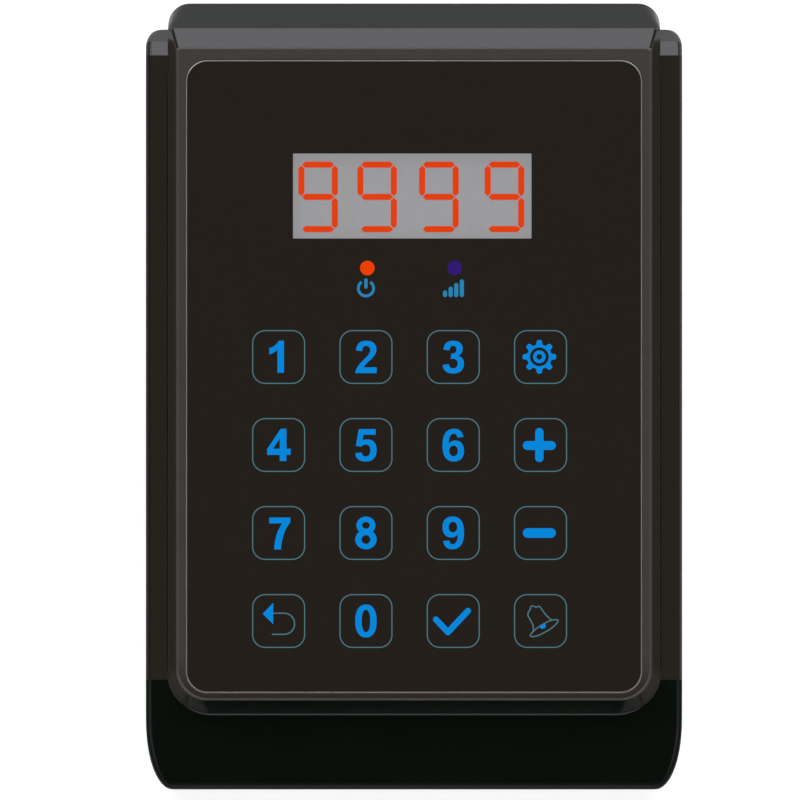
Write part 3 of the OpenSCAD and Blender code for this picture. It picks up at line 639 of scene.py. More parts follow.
def prism(name: str, outline: Outline, low: float, high: float) -> Piece:
    """An upright solid with a given outline, between two heights."""
    return loft(name, [[(x, y, z) for x, y in outline] for z in (low, high)])


def turned(name: str, profile: Outline, steps: int = 48) -> Piece:
    """A solid of revolution about Z.

    Args:
        name: The piece's name.
        profile: Radius and height of each point, from the axis to the axis.
        steps: How many steps the turn takes.

    Returns:
        The object.
    """
    turns = [2 * math.pi * i / steps for i in range(steps)]
    piece = loft(name, [[(r * math.cos(t), r * math.sin(t), z) for t in turns] for r, z in profile])
    with editing(piece.data) as build:
        bmesh.ops.remove_doubles(build, verts=build.verts, dist=1e-8)
    return piece


def box(name: str, low: Point3, high: Point3) -> Piece:
    """A block between two corners, in millimetres."""
    (x0, y0, z0), (x1, y1, z1) = low, high
    return prism(name, [(x0, y0), (x1, y0), (x1, y1), (x0, y1)], z0, z1)


def offset(x: float, y: float, z: float) -> Matrix:
    """A move in millimetres, as a matrix in metres."""
    return Matrix.Translation(Vector((x, y, z)) * MM)


def moved(piece: Piece, matrix: Matrix) -> Piece:
    """Moves a piece's points by a matrix in metres, and leaves its object at the origin."""
    piece.data.transform(matrix)
    return piece


def joined(name: str, pieces: list[Piece]) -> Piece:
    """One mesh of several pieces that don't touch.

    Args:
        name: The new piece's name.
        pieces: The pieces, which are deleted.

    Returns:
        The new piece.
    """
    mesh = bpy.data.meshes.new(name)
    with editing(mesh) as build:
        for piece in pieces:
            build.from_mesh(piece.data)
            bpy.data.objects.remove(piece)
    return placed(name, mesh)


def combined(piece: Piece, how: Combine, *others: Piece) -> Piece:
    """Adds others to a piece or cuts them out of it, one after the other.

    Args:
        piece: The piece that changes.
        how: Whether the others are added or cut out.
        others: The others, which are deleted.

    Returns:
        The changed piece.
    """
    for other in others:
        tool = piece.modifiers.new("combine", "BOOLEAN")
        tool.object, tool.operation, tool.solver = other, how.value, "EXACT"
        graph = bpy.context.evaluated_depsgraph_get()
        result = bpy.data.meshes.new_from_object(piece.evaluated_get(graph))
        piece.modifiers.clear()
        piece.data = result
        bpy.data.objects.remove(other)
    return piece


def smoothed(piece: Piece, angle: float = 16.0) -> Piece:
    """Smooth shading, with edges sharper than the angle kept crisp.

    Args:
        piece: The piece.
        angle: The angle, in degrees.

    Returns:
        The same piece.
    """
    with editing(piece.data) as build:
        bmesh.ops.remove_doubles(build, verts=build.verts, dist=2e-6)
        bmesh.ops.dissolve_degenerate(build, edges=build.edges, dist=1e-6)
    piece.data.shade_smooth()
    piece.data.set_sharp_from_angle(angle=math.radians(angle))
    piece.modifiers.new("flat_faces_first", "WEIGHTED_NORMAL").keep_sharp = True
    return piece


def finished(piece: Piece, finish: Finish | ClearSheet, slot: str, body: str = "console") -> Piece:
    """Dresses a piece and hangs it on its body.

    Args:
        piece: The piece.
        finish: Its finish.
        slot: Not used.
        body: The body that carries it.

    Returns:
        The same piece.
    """
    piece.data.materials.clear()
    piece.data.materials.append(finish.material())
    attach(piece, body)
    LOG.info("made %s: %d faces, %s", piece.name, len(piece.data.polygons), finish.name)
    return piece


# ---- Flat outlines ----


def bezier(a: Point2, b: Point2, c: Point2, steps: int = 10) -> Outline:
    """Points of a curve from a to c that is drawn towards b."""
    return [
        tuple((1 - t) ** 2 * p + 2 * (1 - t) * t * q + t * t * r for p, q, r in zip(a, b, c))
        for t in (k / steps for k in range(steps + 1))
    ]


def drawn(*strokes: list[Point2]) -> Outline:
    """An outline of straight lines and curves.

    Args:
        strokes: Where each line ends, or what each curve is drawn towards and where it ends.

    Returns:
        The outline's points, anticlockwise.
    """
    out: Outline = []
    for stroke in strokes:
        out += [stroke[0]] if len(stroke) == 1 else bezier(out[-1], *stroke)[1:]
    if math.dist(out[0], out[-1]) < 1e-6:
        out.pop()
    area = sum(a[0] * b[1] - b[0] * a[1] for a, b in zip(out, out[1:] + out[:1]))
    return out if area > 0 else out[::-1]


def oval(
    centre: Point2, rx: float, ry: float | None = None, power: float = 2.0, steps: int = 48
) -> Outline:
    """An oval, or a squarer one with a power over 2.

    Args:
        centre: Its centre.
        rx: Half its width.
        ry: Half its height, which is the same if none is given.
        power: 2 for an ellipse.
        steps: How many points it has.

    Returns:
        Its outline, anticlockwise.
    """
    def part(value: float) -> float:
        """The cosine or sine, bent by the power."""
        return math.copysign(abs(value) ** (2 / power), value)

    (x, y), ry = centre, rx if ry is None else ry
    turns = (2 * math.pi * k / steps for k in range(steps))
    return [(x + rx * part(math.cos(t)), y + ry * part(math.sin(t))) for t in turns]


def arc_band(
    centre: Point2, rx: float, ry: float, start: float, end: float, width: float, steps: int = 24
) -> Outline:
    """A band of even width along an elliptic arc.

    Args:
        centre: The ellipse's centre.
        rx: Half the width of the band's middle line.
        ry: Half the height of the band's middle line.
        start: The angle where it starts, in degrees.
        end: The angle where it ends, in degrees, past start.
        width: The band's width.
        steps: How many steps the arc takes.

    Returns:
        The band's outline, anticlockwise.
    """
    outer: Outline = []
    inner: Outline = []
    for k in range(steps + 1):
        t = math.radians(start + (end - start) * k / steps)
        x, y = centre[0] + rx * math.cos(t), centre[1] + ry * math.sin(t)
        nx, ny = ry * math.cos(t), rx * math.sin(t)
        size = math.hypot(nx, ny)
        nx, ny = nx / size * width / 2, ny / size * width / 2
        outer.append((x + nx, y + ny))
        inner.append((x - nx, y - ny))
    return outer + inner[::-1]


def bar(a: Point2, b: Point2, width: float, rounded: bool = True, steps: int = 10) -> Outline:
    """A straight stroke from a to b.

    Args:
        a: Where it starts.
        b: Where it ends.
        width: Its width.
        rounded: Whether it ends in half circles beyond a and b.
        steps: How many steps each half circle takes.

    Returns:
        Its outline, anticlockwise.
    """
    along = math.atan2(b[1] - a[1], b[0] - a[0])
    r = width / 2
    steps = steps if rounded else 1
    out: Outline = []
    for (x, y), first in ((b, along - math.pi / 2), (a, along + math.pi / 2)):
        turns = [first + math.pi * k / steps for k in range(steps + 1)]
        out += [(x + r * math.cos(t), y + r * math.sin(t)) for t in turns]
    return out


def round_box(
    half: float, front: float, rear: float, r_front: float, r_rear: float, steps: int = 16
) -> Outline:
    """A rectangle whose front and rear corners have their own radii.

    Args:
        half: Half its width.
        front: How far it reaches to the front.
        rear: How far it reaches to the rear.
        r_front: Radius of the front corners.
        r_rear: Radius of the rear corners.
        steps: How many steps each corner takes.

    Returns:
        Its outline, anticlockwise.
    """
    out: Outline = []
    for k, (side, back) in enumerate(((1, True), (-1, True), (-1, False), (1, False))):
        r = r_rear if back else r_front
        x, y = side * (half - r), rear - r if back else r - front
        turns = (math.pi / 2 * (k + j / steps) for j in range(steps + 1))
        out += [(x + r * math.cos(t), y + r * math.sin(t)) for t in turns]
    return out


def round_rect(width: float, length: float, radius: float, steps: int = 10) -> Outline:
    """A rectangle about the origin with round corners, anticlockwise."""
    return round_box(width / 2, length / 2, length / 2, radius, radius, steps)


def between(level: float, *table: Point2) -> float:
    """The value at a level of a table of levels and values, in falling order of level.

    Args:
        level: The level.
        table: Levels and their values.

    Returns:
        The value, between those of the two nearest levels.
    """
    for (high, a), (low, b) in zip(table, table[1:]):
        if level >= low:
            return a if level >= high else b + (a - b) * (level - low) / (high - low)
    return table[-1][1]


@dataclass
class Sign:
    """A flat sign: what its outlines cover, less what its holes take away."""

    outlines: list[Outline]
    holes: list[Outline] = field(default_factory=list)

    def at(self, u: float, v: float, turn: int = 1) -> Sign:
        """The same sign moved by u and v, and turned over first where the turn is -1."""
        return Sign(*(
            [[(turn * x + u, turn * y + v) for x, y in shape] for shape in shapes]
            for shapes in (self.outlines, self.holes)
        ))

    def cut(self, low: float, high: float) -> tuple[Points, Faces]:
        """The sign as a thin plate.

        Args:
            low: Level of its back.
            high: Level of its front.

        Returns:
            Its points in millimetres, and its faces.
        """
        points: list[Vector] = []
        loops: list[list[int]] = []
        for shape in self.outlines + self.holes:
            loops.append(list(range(len(points), len(points) + len(shape))))
            points += [Vector(p) for p in shape]
        flat, _, triangles, _, _, origins = delaunay_2d_cdt(points, [], loops, 1, 1e-6, True)
        held = len(self.outlines)
        kept = [tuple(face) for face, among in zip(triangles, origins)
                if among and max(among) < held]
        count = len(flat)
        out = [(p.x, p.y, level) for level in (low, high) for p in flat]
        faces = [tuple(i + count for i in face) for face in kept]
        faces += [face[::-1] for face in kept]
        edges = {(f[i], f[(i + 1) % len(f)]) for f in kept for i in range(len(f))}
        faces += [(a, b, b + count, a + count) for a, b in sorted(edges) if (b, a) not in edges]
        return out, faces


def plate(name: str, signs: list[Sign], low: float, high: float) -> Piece:
    """One piece of several flat signs.

    Args:
        name: The piece's name.
        signs: The signs, which don't overlap.
        low: Level of their backs.
        high: Level of their fronts.

    Returns:
        The piece, in the signs' own frame.
    """
    points: Points = []
    faces: Faces = []
    for sign in signs:
        more, sides = sign.cut(low, high)
        faces += [tuple(i + len(points) for i in side) for side in sides]
        points += more
    piece = mesh_piece(name, points, faces)
    with editing(piece.data) as build:
        loose = [v for v in build.verts if not v.link_faces]
        bmesh.ops.delete(build, geom=loose, context="VERTS")
        bmesh.ops.dissolve_limit(
            build, angle_limit=math.radians(0.5), verts=build.verts, edges=build.edges
        )
    return piece


# ---- The face's frame ----


@dataclass(frozen=True)
class Face:
    """The sloping face of the console: u to the right, v up the face, w out of it."""

    tilt: float = math.radians(8)
    height: float = 29.0
    shift: float = 0.0

    def point(self, u: float, v: float, w: float) -> Point3:
        """The point at u, v and w, in the frame of the whole object."""
        return u, self.y(v, w), self.z(v, w)

    def y(self, v: float, w: float) -> float:
        """The Y of a point at v and w."""
        return v * math.cos(self.tilt) - w * math.sin(self.tilt) + self.shift

    def z(self, v: float, w: float) -> float:
        """The Z of a point at v and w."""
        return v * math.sin(self.tilt) + w * math.cos(self.tilt) + self.height

    def level(self, v: float, z: float) -> float:
        """The level w at which the line across the face at v is z high."""
        return (z - self.height - v * math.sin(self.tilt)) / math.cos(self.tilt)

    def ring(self, outline: Outline, w: float, at: Point2 = (0, 0)) -> Points:
        """An outline on the face, at a place and a level of it."""
        return [self.point(x + at[0], y + at[1], w) for x, y in outline]

    def plug(
        self, name: str, outline: Outline, low: float, high: float, at: Point2 = (0, 0)
    ) -> Piece:
        """A solid square to the face.

        Args:
            name: The piece's name.
            outline: Its outline.
            low: The level where it starts.
            high: The level where it ends.
            at: Where its outline's origin lies on the face.

        Returns:
            The piece.
        """
        return loft(name, [self.ring(outline, w, at) for w in (low, high)])

    def matrix(self) -> Matrix:
        """Turns points from the face's frame into the object's, in metres."""
        return offset(0, self.shift, self.height) @ Matrix.Rotation(self.tilt, 4, "X")


# ---- Housing ----


@dataclass
class HousingForm:
    """The forms of the housing: low wings and a chin, and the raised pod between them."""

    body_w: float = 107.4
    body_front: float = 78.7
    wing_rear: float = 73.5
    wing_step: float = 5.0
    crease_v: float = 56.8
    lip_h: float = 1.2
    chin_roll: float = 1.8
    corner: Point2 = (5.4, 14.0)
    tail: Point2 = (2.4, 3.6)
    wing_bevel: Point2 = (2.8, 2.4)
    wing_slope: Point2 = (2.5, 7.5)
    wing_edge_r: float = 1.2
    pod_rim: Point3 = (95.2, 60.9, 69.8)
    pod_foot: Point2 = (98.6, 63.8)
    pod_bevel: Point2 = (3.8, 3.0)
    pod_slope: Point2 = (5.1, 9.6)
    pod_radii: Point3 = (6.2, 9.0, 4.4)
    pod_ridge_r: float = 0.8
    least_r: float = 0.3
    foot_drop: float = 5.4
    front_drop: float = 6.8
    foot_fillet: float = 0.45
    fillet_root: float = 0.3
    rim_r: float = 0.5
    seam_h: float = 6.0
    foot_proud: float = 1.5
    wall: float = 2.2
    deck_t: float = 2.0
    panel_depth: float = 2.3
    turn_step: int = 5

    def __post_init__(self) -> None:
        """Works out where the face lies and the places of the sections."""
        self.chin_l = self.body_front - self.crease_v
        self.pod_rear = self.pod_rim[2] + self.pod_bevel[0] + self.pod_slope[0]
        self.bevel_w = -self.rim_r - self.pod_bevel[1]
        self.rear_w = self.bevel_w - self.pod_slope[1]
        level = Face()
        lip = level.level(-self.body_front, self.seam_h + self.lip_h)
        cos, sin = math.cos(level.tilt), math.sin(level.tilt)
        front = self.body_front * cos + lip * sin
        rear = self.pod_rear * cos - self.rear_w * sin
        self.face = Face(shift=(front - rear) / 2)
        self.rear_y = (front + rear) / 2
        self.chin_slope = (-lip - self.wing_step - self.chin_roll) / self.chin_l
        turns = [math.radians(t) for t in range(0, 91, self.turn_step)]
        self.slope_v = self.wing_rear - self.wing_slope[0]
        self.bevel_v = self.slope_v - self.wing_bevel[0]
        self.stations = [-self.body_front + self.chin_l * (1 - math.cos(t)) for t in turns]
        self.stations += [self.bevel_v + self.wing_bevel[0] * k / 4 for k in range(5)]
        self.stations += [self.slope_v + self.wing_slope[0] * math.sin(t) for t in turns[1:]]

    def wing_top(self, v: float) -> float:
        """The level of the wings' upper surface at v.

        Args:
            v: The place along the face.

        Returns:
            The level w.
        """
        s = -self.crease_v - v
        if s > 0:
            roll = 1 - math.sqrt(max(0.0, 1 - (s / self.chin_l) ** 2))
            return -self.wing_step - self.chin_slope * s - self.chin_roll * roll
        (bevel_l, bevel_drop), (slope_l, slope_drop) = self.wing_bevel, self.wing_slope
        bevel = min(1.0, max(0.0, (v - self.bevel_v) / bevel_l))
        slope = max(0.0, (v - self.slope_v) / slope_l)
        return -self.wing_step - bevel_drop * bevel - slope_drop * slope

    def wing_half(self, v: float) -> float:
        """Half the housing's width at v.

        Args:
            v: The place along the face.

        Returns:
            The half width, drawn in at the corners.
        """
        half = self.body_w / 2
        for (width, length), past in (
            (self.corner, -self.body_front - v), (self.tail, v - self.wing_rear)
        ):
            share = max(0.0, (length + past) / length)
            half -= width * (1 - math.sqrt(max(0.0, 1 - share ** 2)))
        return half

    def wing_y(self, v: float, inset: float) -> float:
        """Y of the section at v, drawn in from the nearer end by inset."""
        share = v / self.body_front if v < 0 else v / self.wing_rear
        return self.face.y(v - inset * share, self.wing_top(v))

    def wing_section(self, v: float, inset: float, low: float) -> Points:
        """The upright section at v.

        Args:
            v: Where the section is.
            inset: How far it lies inside the outer form.
            low: The height where it starts.

        Returns:
            Its points, from the right foot over the top to the left foot.
        """
        half, y = self.wing_half(v) - inset, self.wing_y(v, inset)
        top = max(self.face.z(v, self.wing_top(v)) - inset, low + 0.05)
        r = min(self.wing_edge_r, (top - low) / 2)
        side = [(half, low)] + [
            (half - r * (1 - math.cos(t)), top - r * (1 - math.sin(t)))
            for t in (math.radians(t) for t in range(0, 91, self.turn_step * 2))
        ]
        return [(x, y, z) for x, z in side] + [(-x, y, z) for x, z in side[::-1]]

    def wings(self, inset: float, low: float) -> Piece:
        """The form of the wings and chin, inside a wall of inset, from the height low."""
        return loft("wings", [self.wing_section(v, inset, low) for v in self.stations])

    def pod_sizes(self, w: float) -> Point3:
        """The pod's sizes at a level.

        Args:
            w: The level.

        Returns:
            Half its width, its reach to the front and the radius of its front corners.
        """
        top, (r_rim, r_foot, _) = -self.rim_r, self.pod_radii
        return (
            between(w, (top, self.pod_rim[0] / 2), (-self.foot_drop, self.pod_foot[0] / 2)),
            between(w, (top, self.pod_rim[1]), (-self.front_drop, self.pod_foot[1])),
            between(w, (top, r_rim), (-self.front_drop, r_foot)),
        )

    def pod_outline(self, w: float, inset: float) -> Points:
        """The pod's outline at the level w, inside a wall of inset.

        Args:
            w: The level.
            inset: How far it lies inside the outer form.

        Returns:
            The outline's points.
        """
        half, front, r = self.pod_sizes(w)
        rim, bevel = self.pod_rim[2], self.bevel_w
        rear = between(
            w, (-self.rim_r, rim), (bevel, rim + self.pod_bevel[0]), (self.rear_w, self.pod_rear)
        )
        r_rear = between(w, (bevel, self.pod_ridge_r), (self.rear_w, self.pod_radii[2]))
        r_rear = max(self.least_r, r_rear - inset / 2)
        outline = round_box(half - inset, front - inset, rear - inset, r - inset / 2, r_rear)
        return self.face.ring(outline, w)

    def pod_base(self, z: float, inset: float) -> Points:
        """The pod's outline on the level plane at the height z.

        Args:
            z: The height.
            inset: How far it lies inside the outer form.

        Returns:
            The outline's points.
        """
        outline = round_box(
            self.pod_foot[0] / 2 - inset, self.pod_foot[1] - inset, self.rear_y - inset,
            self.pod_radii[1] - inset / 2, self.pod_radii[2] - inset / 2,
        )
        return [(x, y, z) for x, y in outline]

    def pod(self) -> Piece:
        """The pod's outer form.

        Returns:
            The piece.
        """
        turns = sorted([self.rear_w, -self.front_drop, -self.foot_drop, self.bevel_w])
        rings = [self.pod_base(self.seam_h, 0)] + [self.pod_outline(w, 0) for w in turns]
        for t in (math.radians(a) for a in range(0, 91, 15)):
            w = -self.rim_r * (1 - math.sin(t))
            rings.append(self.pod_outline(w, self.rim_r * (1 - math.cos(t))))
        return loft("pod", rings)

    def _foot_path(self, rise: float, out: float, sunk: bool) -> Points:
        """A line along the pod's foot, from the right flank round the front to the left flank.

        Args:
            rise: Its height over the wings and the chin.
            out: Its distance from the pod's wall.
            sunk: Whether it lies inside the walls, and so keeps its distance at the ends.

        Returns:
            Its points.
        """
        fade = ((66.0, 0.05), (65.0, 0.35), (63.5, 0.7), (61.0, 0.95), (58.0, 1.0), (20.0, 1.0),
                (-20.0, 1.0), (-50.0, 1.0))
        marks = [(v, 0.0, share) for v, share in fade]
        marks += [(0.0, math.radians(t), 1.0) for t in range(0, 91, 3)]
        right = []
        for v_side, turn, share in marks:
            up, off = (rise, out) if sunk else (rise * share, out * share)
            w = -self.wing_step
            for _ in range(4):
                half, front, r = self.pod_sizes(w + up)
                v = v_side or r - front - (r + off) * math.sin(turn)
                w = self.wing_top(v)
            right.append((half - r + (r + off) * math.cos(turn), v, w + up))
        return [self.face.point(*p) for p in right + [(-u, v, w) for u, v, w in right[::-1]]]

    def fillet(self) -> Piece:
        """The fillet that runs round the pod's foot.

        Returns:
            The piece.
        """
        reach, root = self.foot_fillet, self.fillet_root
        section = [
            (reach * (1 - math.cos(t)) - 0.01, reach * (1 - math.sin(t)) - 0.01, False)
            for t in (math.radians(a) for a in range(0, 91, 10))
        ]
        section += [(reach, -root, True), (-root, -root, True), (-root, reach, True)]
        paths = [self._foot_path(*place) for place in section]
        return loft("foot_fillet", [list(ring) for ring in zip(*paths)])

    def hollow(self) -> Piece:
        """The space inside the pod, up to the back of the deck.

        Returns:
            The piece.
        """
        back = -self.panel_depth - self.deck_t
        turns = [w for w in sorted([self.rear_w, -self.front_drop, -self.foot_drop]) if w < back]
        rings = [self.pod_base(self.seam_h - 0.1, self.wall)]
        return loft("pod_hollow", rings + [self.pod_outline(w, self.wall) for w in turns + [back]])


@dataclass
class ConnectorBay:
    """The recess in the rear wall that holds the power socket and the switch."""

    width: float = 46.0
    height: float = 13.0
    depth: float = 3.2
    middle_z: float = 16.4
    wall: float = 1.8
    socket_x: float = 13.0
    barrel_r: float = 4.1
    switch_x: float = -11.0
    switch: Point2 = (13.4, 9.0)
    mouth_r: float = 0.8
    mouth_chamfer: float = 0.35

    def block(self, form: HousingForm) -> Piece:
        """The block that carries the bay inside the housing.

        Args:
            form: The housing's form.

        Returns:
            The block.
        """
        w, h = self.width / 2 + self.wall, self.height / 2 + self.wall
        back = form.rear_y
        return box(
            "bay_block",
            (-w, back - self.depth - self.wall, self.middle_z - h),
            (w, back - form.wall / 2, self.middle_z + h),
        )

    def cutters(self, form: HousingForm) -> list[Piece]:
        """The recess with its chamfered mouth, and the holes for the socket and the switch.

        Args:
            form: The housing's form.

        Returns:
            The three pieces.
        """
        z, chamfer, floor = self.middle_z, self.mouth_chamfer, form.rear_y - self.depth
        low, high = floor - 2 * self.wall, floor + 0.1

        def upright(outline: Outline, y: float, at: Point2) -> Points:
            """An outline that stands at y, moved to a place."""
            return [(a + at[0], y, at[1] + b) for a, b in outline]

        recess = loft("bay_recess", [
            upright(
                round_rect(self.width + 2 * grow, self.height + 2 * grow, self.mouth_r + grow, 4),
                y, (0, z),
            )
            for y, grow in (
                (floor, 0), (form.rear_y - chamfer, 0), (form.rear_y + 0.05, chamfer + 0.05)
            )
        ])
        w, h = self.switch[0] / 2, self.switch[1] / 2
        hole = box("switch_hole", (self.switch_x - w, low, z - h), (self.switch_x + w, high, z + h))
        barrel = oval((0, 0), self.barrel_r)
        socket = loft("socket_hole", [upright(barrel, y, (self.socket_x, z)) for y in (low, high)])
        return [recess, hole, socket]


@dataclass
class TopShell:
    """The upper housing: one moulding with the pod, the wings, the deck and its posts."""

    form: HousingForm
    bay: ConnectorBay
    panel: Point3 = (91.4, 126.7, 4.4)
    panel_v: float = 3.9
    lay_gap: float = 0.07
    mouth_chamfer: float = 0.05
    display: Point3 = (50.3, 19.0, 40.0)
    display_gap: float = 0.2
    well_w: float = 13.4
    lamp_hole_r: float = 1.7
    board_top: float = -10.3
    pillar_r: float = 3.0
    pilot_r: float = 1.05
    post_r: float = 3.4
    post_foot: float = 5.3
    post_pilot_r: float = 1.25
    post_pilot_l: float = 6.5
    crease_reach: Point2 = (0.1, 0.5)

    def build(self, keys: KeyGrid, posts: list[Point2], pillars: list[Point2]) -> None:
        """Builds and dresses the upper housing.

        Args:
            keys: Where the keys are.
            posts: Where the screw posts stand, in the object's frame.
            pillars: Where the board's pillars stand, in the face's frame.
        """
        form, foot, low = self.form, self.post_foot, self.board_top
        deck = -form.panel_depth - form.deck_t
        shell = combined(form.wings(0, form.seam_h), Combine.ADD, form.pod(), form.fillet())
        inside = form.wings(form.wall, form.seam_h - 0.1)
        shell = combined(shell, Combine.CUT, inside, form.hollow())
        shell = combined(
            shell, Combine.ADD, self.bay.block(form), *(self._post(*at) for at in posts),
            *(self._upright(at, self.pillar_r, low, deck + 1.0) for at in pillars),
        )
        cuts = self._deck_openings(keys)
        cuts += [self._upright(at, self.pilot_r, low - 0.1, deck) for at in pillars]
        cuts += [
            prism("post_pilot", oval(at, self.post_pilot_r, steps=24), foot - 0.1,
                  foot + self.post_pilot_l)
            for at in posts
        ]
        openings = joined("openings", cuts)
        shell = combined(shell, Combine.CUT, self._recess(), openings, *self.bay.cutters(form))
        shell.name = "gloss_top_shell"
        piece = smoothed(shell)
        self._sharpen_crease(piece)
        finished(piece, GLOSS_HOUSING, "gloss_housing")
        self._dress_rim(piece)
        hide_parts("top_shell")

    def _post(self, x: float, y: float) -> Piece:
        """A screw post that ends inside the wing's wall.

        Args:
            x: Its place across the object.
            y: Its place along the object.

        Returns:
            The post.
        """
        form = self.form
        v = (y - self.post_r - form.face.shift) / math.cos(form.face.tilt)
        top = form.face.z(v, form.wing_top(v)) - form.wall / 2
        return prism("post", oval((x, y), self.post_r), self.post_foot, top)

    def _upright(self, at: Point2, r: float, low: float, high: float) -> Piece:
        """A round pin or hole square to the face."""
        return self.form.face.plug("upright", oval(at, r, steps=24), low, high)

    def _recess(self) -> Piece:
        """What is cut away for the touch panel, with a fine chamfer round its mouth.

        Returns:
            The solid to cut out.
        """
        width, length, radius = self.panel
        gap, chamfer = self.lay_gap, self.mouth_chamfer
        return loft("panel_recess", [
            self.form.face.ring(
                round_rect(width + 2 * grow, length + 2 * grow, radius + grow, 14),
                w, (0, self.panel_v),
            )
            for w, grow in (
                (-self.form.panel_depth, gap), (-chamfer, gap), (0.05, gap + chamfer + 0.05)
            )
        ])

    def _deck_openings(self, keys: KeyGrid) -> list[Piece]:
        """The openings through the deck, for the display, the wells and the lamps.

        Args:
            keys: Where the keys and the lamps are.

        Returns:
            The solids to cut out.
        """
        width, length, v = self.display
        gap, well = 2 * self.display_gap, round_rect(self.well_w, self.well_w, 0.5, 3)
        holes = [(round_rect(width + gap, length + gap, 0.3, 3), (0, v))]
        holes += [(well, at) for at in keys.places()]
        holes += [(oval((0, 0), self.lamp_hole_r, steps=24), at) for at in keys.lamp_places()]
        high = 0.1 - self.form.panel_depth
        low = -self.form.panel_depth - self.form.deck_t - 0.2
        return [self.form.face.plug("opening", outline, low, high, at) for outline, at in holes]

    def _sharpen_crease(self, piece: Piece) -> None:
        """Keeps the line crisp where the chin falls away from the wings.

        Args:
            piece: The housing.
        """
        form, (near, deep) = self.form, self.crease_reach
        back = form.face.matrix().inverted()
        points = [back @ corner.co / MM for corner in piece.data.vertices]
        on_crease = [
            abs(p.y + form.crease_v) < near and p.z > -form.wing_step - deep for p in points
        ]
        for edge in piece.data.edges:
            if all(on_crease[i] for i in edge.vertices):
                edge.use_edge_sharp = True

    def _dress_rim(self, piece: Piece) -> None:
        """Gives the land round the panel, the flanks and the outer edges painted sheen, shade and
        highlights, and the chin's edges a duller gloss.

        Args:
            piece: The dressed housing.
        """
        for finish in (SATIN_RIM_SHEEN_SHADE, SIDE_SHEEN, RIM_EDGE_HIGHLIGHT, WING_EDGE_HIGHLIGHT, CHIN_EDGE):
            piece.data.materials.append(finish.material())
        slots = {slot.name: k for k, slot in enumerate(piece.material_slots)}
        back = self.form.face.matrix().inverted()
        turn = back.to_3x3()
        for side in piece.data.polygons:
            finish = self._finish_at(back @ side.center / MM, turn @ side.normal)
            side.material_index = slots[finish.name]

    def _finish_at(self, at: Vector, normal: Vector) -> Finish:
        """The finish of a part of the housing.

        Args:
            at: Where it lies, in the face's frame.
            normal: Which way it faces there.

        Returns:
            The finish.
        """
        form = self.form
        flat, rim_tilt, rim_top, flank, chin_side, chin_flat = 0.999, 0.05, 0.1, 0.2, 0.04, 0.93
        least_edge, most_edge = 0.1, 0.995
        # the land round the panel gets painted sheen and shade, and its rounding a painted
        # highlight
        if normal.z > rim_tilt and -form.rim_r < at.z < rim_top:
            return SATIN_RIM_SHEEN_SHADE if normal.z > flat else RIM_EDGE_HIGHLIGHT
        # the pod's walls get painted sheen where they face sideways
        if abs(at.x) < form.pod_foot[0] / 2 and form.wing_top(at.y) < at.z < 0:
            return SIDE_SHEEN if abs(normal.x) > flank else GLOSS_HOUSING
        if at.y < -form.crease_v and (abs(normal.x) > chin_side or normal.z < chin_flat):
            return CHIN_EDGE
        # outer edge roundings: a painted highlight on the right, painted sheen on the left
        outside = abs(at.x) > form.body_w / 2 - form.wing_edge_r
        if outside and least_edge < normal.z < most_edge:
            return WING_EDGE_HIGHLIGHT if at.x > 0 else SIDE_SHEEN
        return GLOSS_HOUSING


